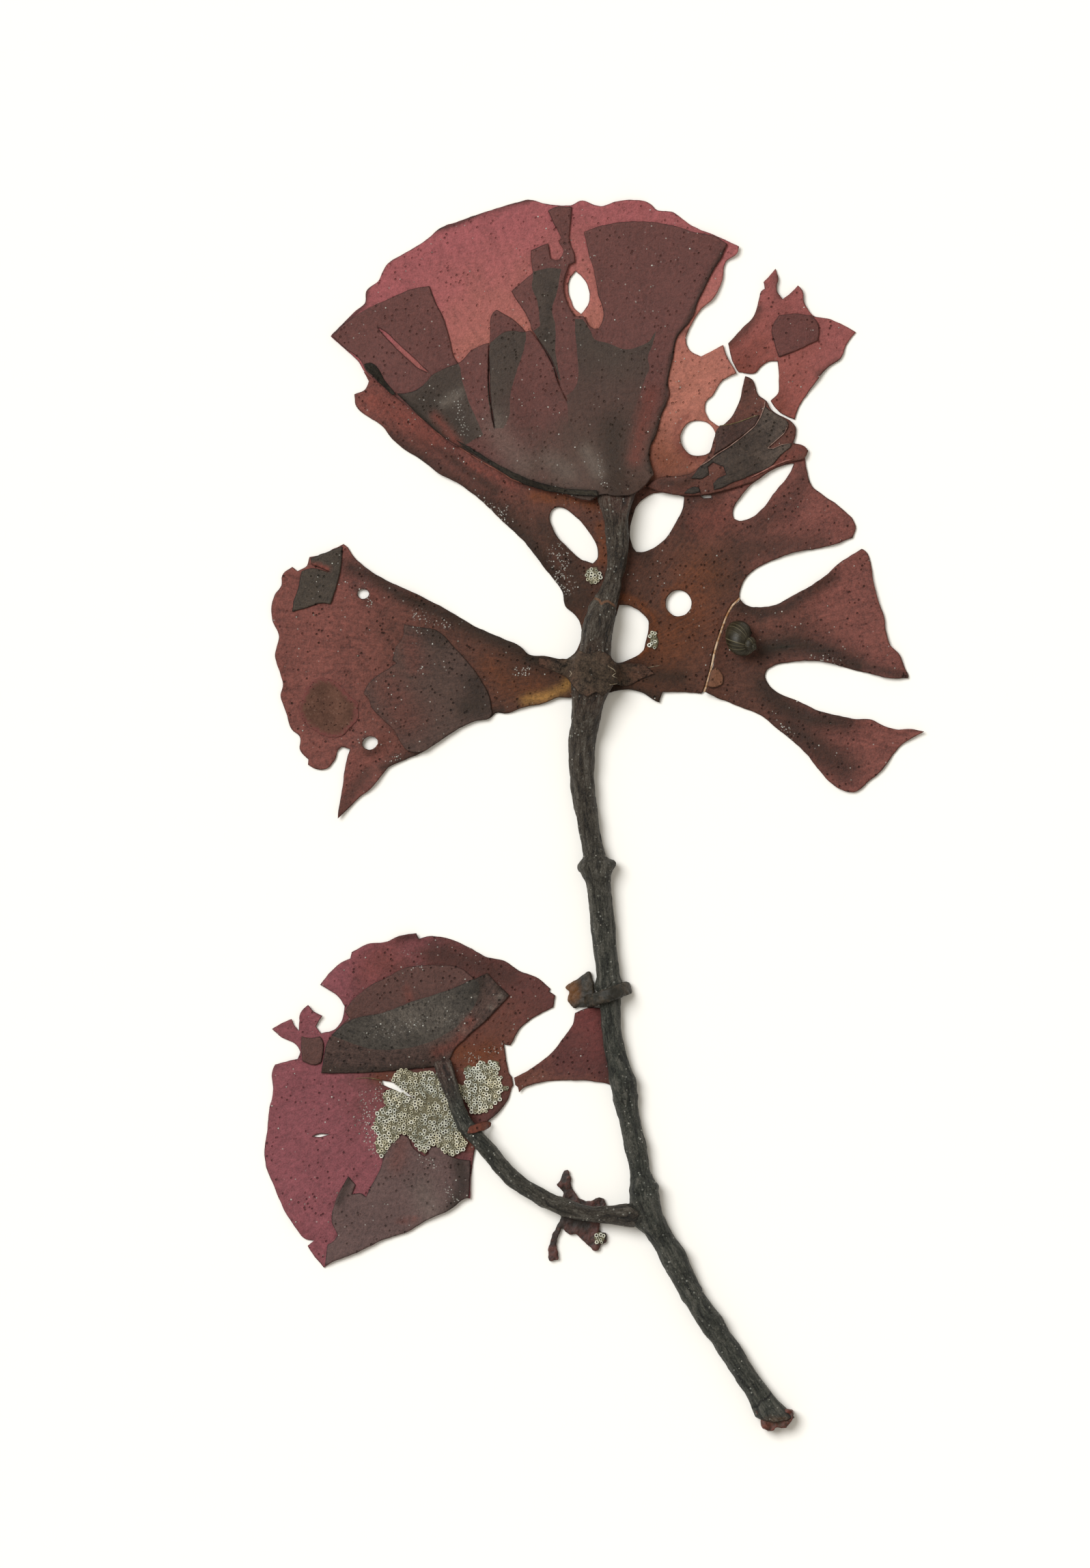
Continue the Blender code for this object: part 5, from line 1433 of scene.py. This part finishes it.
def remnant_finish(name, dark, light, tip, spot, tint):
    f = Finish(name)
    here = f.place()
    cloud, grain = f.noise(here, 1.3, 4.0, 0.6), f.noise(here, 5.0, 4.0, 0.7)
    ridge = f.attribute("ridge")
    # Painted light and shade over a cloudy mottle: lighter on the wrinkles' ridges, darker in their grooves
    # and in the low grain, and the tip colour is a painted sheen on the highest ridges.
    color = f.mix((cloud + (ridge - 0.5) * 0.8).ramp(0.38, 0.66), dark, light)
    color = f.mix((grain + (ridge - 0.5) * 0.5).ramp(0.6, 0.8) * 0.6, color, tip)
    color = f.mix(f.spot(*spot, 1.2, (cloud - 0.5) * 1.5) * 0.85, color, tint)
    color = f.mix((1 - grain.ramp(0.3, 0.46)) * 0.6, color, seen(28, 20, 18))
    f.bump((grain - 0.5) + (cloud - 0.5), 0.06 * MM, 1.0)
    return f.finish(color, 0.5 + (grain - 0.5) * 0.3, 0.35)


def crumpled(node, finish, depth, size, seed, swell=0.0):
    """A remnant's lumpy skin. The collar's strap swells where it goes over the stem."""
    mesh = dense_skin(node, REMNANT_VOXEL, REMNANT_SMOOTHING)
    points = get_points(mesh)
    points += get_normals(mesh) * (swell * np.clip(points[:, 0] + 1.2, 0, 1))[:, None]
    set_points(mesh, points)
    set_vectors(mesh, "grain", points)
    grown = wrinkled(mesh, depth, size, depth * 1.2, size * 3, 1.6, seed, finish)
    points = get_points(grown)
    points[:, 2] = np.maximum(points[:, 2], 0.0)
    set_points(grown, points)
    declare(place_object(node + "_skin", grown), node)
    add_to_pile(points[:, :2], points[:, 2])
    return len(grown.polygons)


# The third colour of each remnant is its painted sheen.
OLD_RED = remnant_finish("old_red_scrap", seen(54, 44, 40), seen(92, 60, 54), seen(138, 108, 88),
                         ((-1.3, -30.6), (1.4, 1.0)), seen(56, 50, 46))
OLD_BROWN = remnant_finish("old_brown_collar", seen(50, 48, 43), seen(74, 66, 57), seen(126, 112, 92),
                           ((-1.9, -13.4), (0.8, 0.9)), seen(116, 78, 48))
OLD_BASE = remnant_finish("old_base", seen(66, 44, 38), seen(112, 62, 54), seen(150, 116, 92),
                          ((13.7, -45.6), (1.1, 0.8)), seen(72, 62, 48))
print("old collar:", crumpled("old_collar", OLD_BROWN, 0.14, 0.4, seed=2.0, swell=0.13))
print("branch remnant:", crumpled("branch_remnant", OLD_RED, 0.12, 0.4, seed=5.0))
print("holdfast:", crumpled("holdfast_remnant", OLD_BASE, 0.24, 0.5, seed=8.0))

# %% [markdown]
# Crusts
# Grey crusts of moss animals grow on the blades. Each is a sheet of hundreds of tiny chambers, and each
# chamber has a raised wall round a dark opening. Geometry Nodes scatter one chamber over the crust's
# outline with a least distance between them. The chamber is a six-sided drum whose top is pushed in, and
# each one stores a tone of its own, so that no two look alike.

# %% The tree of chambers
OPENING = 0.55                  # share of a chamber's width
CHAMBERS_AT_MOST = 1.2e8        # per square metre


def chamber_tree():
    g = Growth("crust_of_chambers")
    size, spacing, seed = g.input("Size", "Float"), g.input("Spacing", "Float"), g.input("Seed", "Int")
    height = g.input("Height", "Float")
    drum = g.node("GeometryNodeMeshCylinder", Vertices=6, Side_Segments=1, Fill_Segments=1,
                  Radius=size * 0.5, Depth=height)
    raised = g.node("ShaderNodeCombineXYZ", Z=height * 0.25)
    drum = g.node("GeometryNodeTransform", Geometry=drum, Translation=raised)
    faces = {"mode": "FACES"}
    rim = g.node("GeometryNodeExtrudeMesh", settings=faces, Mesh=drum, Selection=g.upward() > 0.9,
                 Offset_Scale=0.0)
    top = Value(g, rim.socket.node.outputs["Top"])
    inset = g.node("GeometryNodeScaleElements", Geometry=rim, Selection=top, Scale=OPENING)
    pit = g.node("GeometryNodeExtrudeMesh", settings=faces, Mesh=inset, Selection=top,
                 Offset_Scale=height * -0.6)
    marked = g.node("GeometryNodeStoreNamedAttribute", settings={"domain": "FACE"}, Geometry=pit,
                    Name="opening", Value=Value(g, pit.socket.node.outputs["Top"]))
    spots = g.scattered(Selection=(g.upward() - g.stored("bare")) > 0.6, Distance_Min=spacing,
                        Density_Max=CHAMBERS_AT_MOST, Seed=seed)
    spots = g.node("GeometryNodeStoreNamedAttribute", Geometry=spots, Name="tone",
                   Value=g.random(0.0, 1.0, seed))
    turn = g.random_turn((-0.3, -0.3, 0.0), (0.3, 0.3, 6.28), seed)
    g.end(g.node("GeometryNodeInstanceOnPoints", Points=spots, Instance=marked, Rotation=turn,
                 Scale=g.random(0.75, 1.2, seed)))
    return g


CHAMBERS = chamber_tree()
print("inputs of the chamber tree:", list(CHAMBERS.inputs))

# %% The crusts' finish and the crusts
def crust_finish():
    f = Finish("crust_of_moss_animals")
    here = f.place()
    cloud, grain = f.noise(here, 0.7, 3.0), f.noise(here, 7.0, 3.0, 0.7)
    tone = f.attribute("tone")
    color = f.mix(cloud.ramp(0.35, 0.68), seen(222, 224, 208), seen(238, 228, 194))
    color = f.coats(color,
                    (tone.ramp(0.6, 1.0) * 0.6, (250, 248, 236)),
                    ((1 - tone.ramp(0.0, 0.5)) * 0.75, (118, 114, 90)),
                    (f.spot((-13.2, -22.8), (3.4, 3.4), 1.5, (cloud - 0.5) * 2.0) * 0.25, (104, 102, 82)),
                    (grain.ramp(0.5, 0.7) * 0.6, (240, 238, 226)),
                    ((1 - grain.ramp(0.3, 0.52)) * 0.6, (104, 102, 84)),
                    ((1 - f.noise(here, 2.3, 2.0).ramp(0.36, 0.56)) * 0.3, (104, 100, 80)),
                    (f.attribute("opening") * 0.95, (40, 36, 22)))
    f.bump(grain, 0.03 * MM, 0.8)
    return f.finish(color, 0.78 + (grain - 0.5) * 0.2, 0.2)


def crust_bed_finish():
    f = Finish("crust_bed")
    grain = f.noise(f.place(), 5.0, 4.0, 0.7)
    color = f.mix(grain.ramp(0.35, 0.65), seen(86, 80, 62), seen(132, 126, 104))
    return f.finish(color, 0.7 + (grain - 0.5) * 0.2, 0.2)


CRUST_FINISH, BED_FINISH = crust_finish(), crust_bed_finish()
BED_THICKNESS, BROWN_THICKNESS = 0.04, 0.03    # mm
CRUST_GRID = 0.2                # mm between points
CRUST_TEAR = 0.12               # mm, how far a crust's margin is frayed
CRUST_CLIMB = 0.12              # mm, a crust stays on its blade and goes under the branch
CHAMBER, CHAMBER_GAP, CHAMBER_HEIGHT = 0.28, 0.22, 0.13    # mm
# The crusts' true edges are lobed, and the left one reaches under the branch
CRUST_EDGES = {
    "side_crust_left": [
        (-15.2, -19.75), (-14.9, -19.4), (-14.2, -19.35), (-13.4, -19.45), (-12.4, -19.4), (-12.0, -19.8),
        (-11.7, -20.5), (-11.3, -21.2), (-11.0, -22), (-10.7, -23), (-10.0, -24.3), (-9.75, -24.9),
        (-9.95, -25.3), (-10.7, -25.8), (-11.3, -25.6), (-12.1, -24.9), (-12.6, -25.1), (-12.8, -25.8),
        (-13.5, -25.2), (-13.9, -24.6), (-14.3, -24.2), (-14.7, -24.15), (-15.1, -24.7), (-15.7, -25.3),
        (-16.05, -26.0), (-16.4, -25.6), (-16.6, -24.9), (-16.5, -24.2), (-16.8, -23.8), (-16.6, -23.1),
        (-16.3, -22.4), (-15.8, -22.1), (-15.95, -21.4), (-15.7, -20.9), (-15.1, -20.85), (-14.6, -21.15),
        (-13.9, -21.45), (-13.65, -21.2), (-14.4, -20.8), (-15.1, -20.25), (-15.25, -20.0)],
    "side_crust_right": [
        (-9.9, -19.2), (-9.5, -19.0), (-9.0, -19.35), (-8.8, -18.8), (-8.5, -18.65), (-8.25, -18.95),
        (-7.8, -18.65), (-7.25, -18.75), (-7.2, -19.3), (-7.45, -19.7), (-7.0, -19.95), (-7.1, -20.45),
        (-6.55, -20.6), (-6.55, -20.95), (-7.0, -21.0), (-7.1, -21.6), (-7.7, -22.1), (-8.3, -22.6),
        (-9.2, -22.65), (-9.5, -22.2), (-9.9, -21.5), (-10.3, -20.8), (-10.35, -20.4), (-9.9, -20.5),
        (-9.75, -20.0)],
    "disc_crust_upper": [
        (-0.65, 18.2), (-0.5, 17.7), (-0.1, 17.45), (0.3, 17.6), (0.6, 17.9), (0.5, 18.4), (0.2, 18.8),
        (-0.2, 18.75), (-0.55, 18.6)],
    "brown_crust": [
        (-21.25, 10.2), (-20.75, 10.4), (-19.85, 10.3), (-19.15, 9.7), (-18.55, 8.9), (-17.85, 8.4),
        (-17.9, 7.4), (-18.55, 6.6), (-19.15, 5.95), (-20.0, 5.9), (-21.1, 6.35), (-22.0, 7.0),
        (-22.4, 7.9), (-22.15, 8.8), (-21.75, 9.7)],
}
CRUST_CRACKS = [
    (0.08, 1.5, [(-13.6, -21.3), (-12.8, -21.35), (-12.2, -21.6), (-11.6, -21.95), (-11.2, -22.3)]),
    (0.05, 1.5, [(-15.6, -22.2), (-14.9, -22.3), (-14.3, -22.6), (-13.4, -22.75), (-12.3, -22.5)]),
    (0.06, 1.5, [(-16.3, -24.0), (-15.6, -24.2), (-15.1, -24.4)]),
    (0.06, 1.2, [(-11.8, -23.1), (-12.8, -23.0)])]


def crust_bed(node, number, finish, thickness):
    """A thin bed over the crust's outline, laid on the pile."""
    edges = [np.array(CRUST_EDGES[node])] if node in CRUST_EDGES else plan_loops(node)
    edges[0] = edges[0] if signed_area(edges[0]) > 0 else edges[0][::-1]
    loops = [frayed(rounded(loop), number, CRUST_TEAR) for loop in edges]
    points, faces = fill(loops, [], CRUST_GRID, number)
    under = settle(points, faces, np.zeros(len(points)), 3)
    under = np.minimum(under, np.median(under) + CRUST_CLIMB)
    mesh = sheet_mesh(node, points, faces, under, thickness, loops, np.ones(len(faces)), (0, 0, 0))
    set_values(mesh, "bare", np.tile(stroke_values(points, CRUST_CRACKS), 2))
    mesh.materials.append(finish)
    return mesh


def build_crust(node, number):
    base = place_object(node + "_bed", crust_bed(node, number, BED_FINISH, BED_THICKNESS))
    mesh = CHAMBERS.run(base, Size=CHAMBER * MM, Spacing=CHAMBER_GAP * MM, Seed=number,
                        Height=CHAMBER_HEIGHT * MM, Material=CRUST_FINISH)
    declare(base, slot="bryozoan")
    declare(place_object(node + "_cells", mesh), node)
    return len(mesh.polygons)


for number, node in enumerate(name for name, slot in SLOT_OF.items() if slot == "bryozoan"):
    print(node, build_crust(node, number + CRUST_SEED), "faces")

# %% The brown crust on the left lobe
def brown_crust_finish():
    f = Finish("brown_crust_skin")
    here, edge = f.place(), f.attribute("edge")
    cloud, grain = f.noise(here, 0.9, 4.0, 0.65), f.noise(here, 4.5, 4.0, 0.75)
    pit = f.cells(f.stretch(here, (1.0, 1.0, 0.1)), 3.2)
    inner = (edge + (grain - 0.5) * 1.1 + (cloud - 0.5) * 0.8).ramp(0.0, 0.45)
    color = f.mix(cloud.ramp(0.35, 0.66), seen(92, 66, 56), seen(110, 78, 66))
    color = f.mix(inner, seen(122, 74, 70), color)
    color = f.coats(color,
                    ((1 - pit.ramp(0.1, 0.26)) * 0.7, (54, 40, 36)),
                    ((1 - grain.ramp(0.3, 0.5)) * 0.5, (62, 44, 40)),
                    (grain.ramp(0.55, 0.7) * 0.5, (142, 112, 100)))
    f.bump((grain - 0.5) * 1.5 + (1 - pit.ramp(0.06, 0.2)) * -0.7, 0.06 * MM, 1.0)
    return f.finish(color, 0.72 + (grain - 0.5) * 0.2, 0.2)


bed = crust_bed("brown_crust", BROWN_SEED, brown_crust_finish(), BROWN_THICKNESS)
brown = place_object("brown_crust_skin", bed)
declare(brown, "brown_crust")
print("brown crust:", len(brown.data.polygons), "faces")

# %% [markdown]
# The snail
# A small sea snail dried in place on the right lobe. Its shell follows one rule: a round tube turns about
# an axis while its size, its distance from the axis and its step along it all grow by the same factor.
# Three numbers give the whole shape, so it is worked out point by point.

# %% A shell from its rule
SNAIL_APEX = (12.32, 12.62)     # mm, the tip, seen from above
SNAIL_AXIS = (0.71, -0.284, 0.644)
SNAIL_FLOOR = 0.16              # mm, the lobe's upper side
TURNS = 4.0                     # the last one ends at its side, so the opening faces down
GROWTH = 2.3                    # how much larger each whorl is than the one before
TUBE = (1.0, 1.22)              # mm, the last opening's half width from the axis and along it
ORBIT = 0.53                    # mm, from the axis to the middle of the last opening
DROP = 2.22                     # mm, from the apex to the last opening along the axis
TURN_STEPS, TUBE_STEPS = 72, 36


def build_snail():
    axis = np.array(SNAIL_AXIS) / np.linalg.norm(SNAIL_AXIS)
    side = np.cross((0, 0, 1), axis)
    side /= np.linalg.norm(side)
    down = np.cross(side, axis)
    down *= -np.sign(down[2])
    apex = np.array((*SNAIL_APEX, 0.0))
    rows = round(TURNS * TURN_STEPS)
    points, turns = [], []
    for i in range(rows + 1):
        turn = i / TURN_STEPS - TURNS
        size = GROWTH ** turn
        angle = 2 * math.pi * turn
        out = math.cos(angle) * side + math.sin(angle) * down
        centre = apex - axis * DROP * size + out * ORBIT * size
        rib = 1 + 0.012 * math.sin(turn * 90) + 0.01 * math.sin(turn * 211 + 1)
        for k in range(TUBE_STEPS):
            phi = 2 * math.pi * k / TUBE_STEPS
            spoke = TUBE[0] * math.cos(phi) * out + TUBE[1] * math.sin(phi) * axis
            points.append(centre + size * rib * spoke)
            turns.append(turn)
    points = np.array(points)
    points[:, 2] += SNAIL_FLOOR - points[:, 2].min()
    mesh = closed_tube("snail_shell", points, TUBE_STEPS, snail_finish())
    set_values(mesh, "turn", turns)
    declare(place_object("snail_shell_coiled", mesh), "snail_shell")
    return len(mesh.polygons)


def snail_finish():
    f = Finish("snail_shell")
    here, turn = f.place(), f.attribute("turn")
    lines = f.node("ShaderNodeTexNoise", settings={"noise_dimensions": "1D"}, W=turn * 34.0, Scale=1.0,
                   Detail=4.0, Roughness=0.7)
    cloud, grain = f.noise(here, 1.5, 3.0), f.noise(here, 9.0, 3.0)
    color = f.mix(cloud.ramp(0.3, 0.7), seen(46, 43, 35), seen(66, 61, 50))
    color = f.coats(color,
                    (lines.ramp(0.52, 0.68) * 0.6, (132, 122, 96)),
                    ((1 - lines.ramp(0.3, 0.45)) * 0.5, (28, 25, 20)),
                    # Painted glints: small pale flecks on the shell.
                    (grain.ramp(0.7, 0.76) * 0.7, (190, 185, 170)))
    f.bump((lines - 0.5) * 0.8 + (grain - 0.5) * 0.3, 0.04 * MM, 0.9)
    return f.finish(color, 0.42 + (grain - 0.5) * 0.3, 0.3)


print("snail:", build_snail(), "faces")

# %% [markdown]
# Grains and fibres
# Dust of salt and sand lies on the blades, thickest where the stains say so. Geometry Nodes drop small
# balls of twenty faces on each upper side, with the stored salt value as their density. Fibres at the hub,
# ridges along the creases of the folded lobe, a line beside a tear and a pale fill in the middle blade's
# crack are thin tubes, each along a path on top of the pile. The fill is partly the blade's curled edge
# and partly painted shade of the pale floor seen in the crack.

# %% The tree of grains
GRAIN_SIZE, GRAIN_GAP = 0.055, 0.13     # mm
GRAINS_ANYWHERE = 0.013         # share of the most, where no stain of salt is
GRAINS_AT_MOST = 2.4e7          # per square metre


def grain_tree():
    g = Growth("salt_grains")
    size, spacing, seed = g.input("Size", "Float"), g.input("Spacing", "Float"), g.input("Seed", "Int")
    few = g.input("Few", "Float")
    salt = g.stored("salt")
    spots = g.scattered(Selection=g.upward() > 0.6, Distance_Min=spacing, Density_Max=GRAINS_AT_MOST,
                        Seed=seed, Density_Factor=(salt * salt * 0.6 + few).clamp())
    ball = g.node("GeometryNodeMeshIcoSphere", Radius=size, Subdivisions=1)
    turn = g.random_turn((0.0, 0.0, 0.0), (6.28, 6.28, 6.28), seed)
    g.end(g.node("GeometryNodeInstanceOnPoints", Points=spots, Instance=ball, Rotation=turn,
                 Scale=g.random(0.4, 1.35, seed)))
    return g


def grain_finish():
    f = Finish("salt_grain")
    grain = f.noise(f.place(), 4.0, 2.0)
    color = f.mix(grain.ramp(0.35, 0.62), seen(128, 122, 112), seen(206, 204, 196))
    return f.finish(color, 0.6 + (grain - 0.5) * 0.3, 0.3)


GRAINS, GRAIN_FINISH = grain_tree(), grain_finish()


def scatter(things, name):
    whole = bmesh.new()
    for number, thing in enumerate(things):
        grown = GRAINS.run(thing, Size=GRAIN_SIZE * MM, Spacing=GRAIN_GAP * MM, Seed=number + GRAIN_SEED,
                           Few=GRAINS_ANYWHERE, Material=GRAIN_FINISH)
        whole.from_mesh(grown)
    mesh = bpy.data.meshes.new(name)
    whole.to_mesh(mesh)
    whole.free()
    mesh.materials.append(GRAIN_FINISH)
    declare(place_object(name, mesh), slot="bryozoan")
    return len(mesh.polygons)


dusty = [bpy.data.objects[name + "_sheet"] for name in SHEETS] + [bpy.data.objects["forked_stipe_skin"]]
print("grains:", scatter(dusty, "salt_grains") // 20)

# %% Tubes: finish, and points as x, y, radius and height over the pile
def thread_finish(name, dark, light):
    f = Finish(name)
    grain = f.noise(f.place(), 3.0, 3.0)
    return f.finish(f.mix(grain.ramp(0.35, 0.65), dark, light), 0.55 + (grain - 0.5) * 0.3, 0.3)


FIBRE = thread_finish("dry_fibre", seen(120, 104, 84), seen(176, 164, 142))
RIDGE = thread_finish("fold_ridge", seen(112, 86, 78), seen(160, 132, 120))
SEAM = thread_finish("fold_seam", seen(98, 88, 58), seen(134, 122, 88))
HEM = thread_finish("fold_hem", seen(122, 74, 66), seen(158, 108, 98))
TUBES = {
    "hub_fibre_1": (FIBRE, [(1.0, 11.3, 0.03, 0.05), (1.5, 11.0, 0.035, 0.1), (1.65, 10.75, 0.03, 0.1),
                            (1.35, 10.55, 0.03, 0.08), (1.75, 10.35, 0.025, 0.1), (2.4, 10.3, 0.02, 0.05)]),
    "hub_fibre_2": (FIBRE, [(0.4, 9.85, 0.02, 0.03), (1.2, 9.85, 0.03, 0.06), (1.7, 9.95, 0.03, 0.06),
                            (2.05, 10.2, 0.02, 0.04)]),
    "hub_fibre_3": (FIBRE, [(-1.9, 11.0, 0.02, 0.03), (-1.7, 10.7, 0.03, 0.05), (-1.95, 10.4, 0.02, 0.04)]),
    "hub_fibre_4": (FIBRE, [(2.2, 11.3, 0.02, 0.02), (3.6, 11.1, 0.02, 0.02), (5.0, 11.35, 0.012, 0.02)]),
    "lobe_ridge_long": (RIDGE, [(8.0, 26.45, 0.03, 0.08), (8.6, 26.8, 0.035, 0.08),
                                (9.3, 27.35, 0.035, 0.08), (10.2, 27.9, 0.035, 0.08),
                                (11.2, 28.65, 0.04, 0.08), (12.2, 29.5, 0.04, 0.08),
                                (12.62, 30.2, 0.04, 0.08), (12.92, 31.0, 0.045, 0.08),
                                (12.95, 31.35, 0.03, 0.06)]),
    "lobe_ridge_short": (RIDGE, [(14.7, 29.6, 0.02, 0.08), (14.45, 29.0, 0.03, 0.08),
                                 (13.9, 28.5, 0.03, 0.08), (13.3, 27.98, 0.035, 0.08),
                                 (13.15, 27.82, 0.035, 0.08), (13.6, 27.8, 0.03, 0.08),
                                 (14.2, 28.08, 0.03, 0.08), (14.9, 28.2, 0.02, 0.06)]),
    "lobe_seam": (SEAM, [(9.5, 29.52, 0.02, 0.07), (10.3, 29.62, 0.03, 0.07), (11.0, 29.82, 0.03, 0.07),
                         (11.7, 30.08, 0.03, 0.07), (12.4, 30.33, 0.02, 0.06)]),
    "tear_line": (SEAM, [(-18.1, -20.0, 0.012, 0.03), (-17.4, -19.93, 0.02, 0.03),
                         (-16.8, -19.98, 0.025, 0.03), (-16.25, -20.1, 0.03, 0.03)]),
    "lobe_hem": (HEM, [(11.9, 25.6, 0.03, 0.05), (12.9, 26.1, 0.06, 0.05), (13.7, 26.52, 0.075, 0.05),
                       (14.5, 26.85, 0.06, 0.05), (15.1, 27.0, 0.03, 0.05)]),
}
TUBE_SIDES = 8
CRACK_FILL_LINE = (14, 0.085, -0.075)  # points along the crack, radius, height over the blade


def crack_path(first, second):
    """Points midway between two outlines, where they lie close, from one end of the crack to the other."""
    gaps = outlines[second][0][None] - outlines[first][0][:, None]
    lengths = np.linalg.norm(gaps, axis=2)
    nearest = lengths.argmin(1)
    close = lengths.min(1) < CRACK_WIDTH * 2
    middles = (outlines[first][0][close] + outlines[second][0][nearest[close]]) / 2
    count, radius, above = CRACK_FILL_LINE
    rows = np.linspace(middles[:, 1].max(), middles[:, 1].min(), count)
    order = np.argsort(middles[:, 1])
    columns = np.interp(rows, middles[order, 1], middles[order, 0])
    return [(x, y, radius, above) for x, y in zip(columns, rows)]


# The crack's pale fill: partly the blade's curled edge, partly painted shade of the floor in the crack.
CRACK_EDGE_AND_SHADE = thread_finish("crack_edge_and_shade", seen(150, 104, 66), seen(206, 178, 150))
TUBES["crack_edge_and_shade"] = (CRACK_EDGE_AND_SHADE, crack_path("middle_blade", "broken_right_lobe"))
print("crack from and to:", [np.round(TUBES["crack_edge_and_shade"][1][end][:2], 1) for end in (0, -1)])


def tube(name):
    finish, path = TUBES[name]
    x, y, radius, above = np.array(path).T
    fine = np.linspace(0, len(path) - 1, 4 * len(path))
    x, y, radius, above = (np.interp(fine, range(len(path)), values) for values in (x, y, radius, above))
    heights = height_below(np.column_stack([x, y])) + above
    centres = np.column_stack([x, y, heights])
    ways = np.gradient(centres, axis=0)
    ways /= np.linalg.norm(ways, axis=1)[:, None]
    sides = np.cross(ways, (0, 0, 1))
    sides /= np.linalg.norm(sides, axis=1)[:, None]
    ups = np.cross(sides, ways)
    angles = np.linspace(0, 2 * math.pi, TUBE_SIDES, endpoint=False)
    spokes = (np.cos(angles)[None, :, None] * sides[:, None]
              + np.sin(angles)[None, :, None] * ups[:, None])
    rings = centres[:, None] + radius[:, None, None] * spokes
    mesh = closed_tube(name, rings.reshape(-1, 3), TUBE_SIDES, finish)
    declare(place_object(name, mesh), slot="thick_blade")
    return len(mesh.polygons)


for name in TUBES:
    print(name, tube(name), "faces")
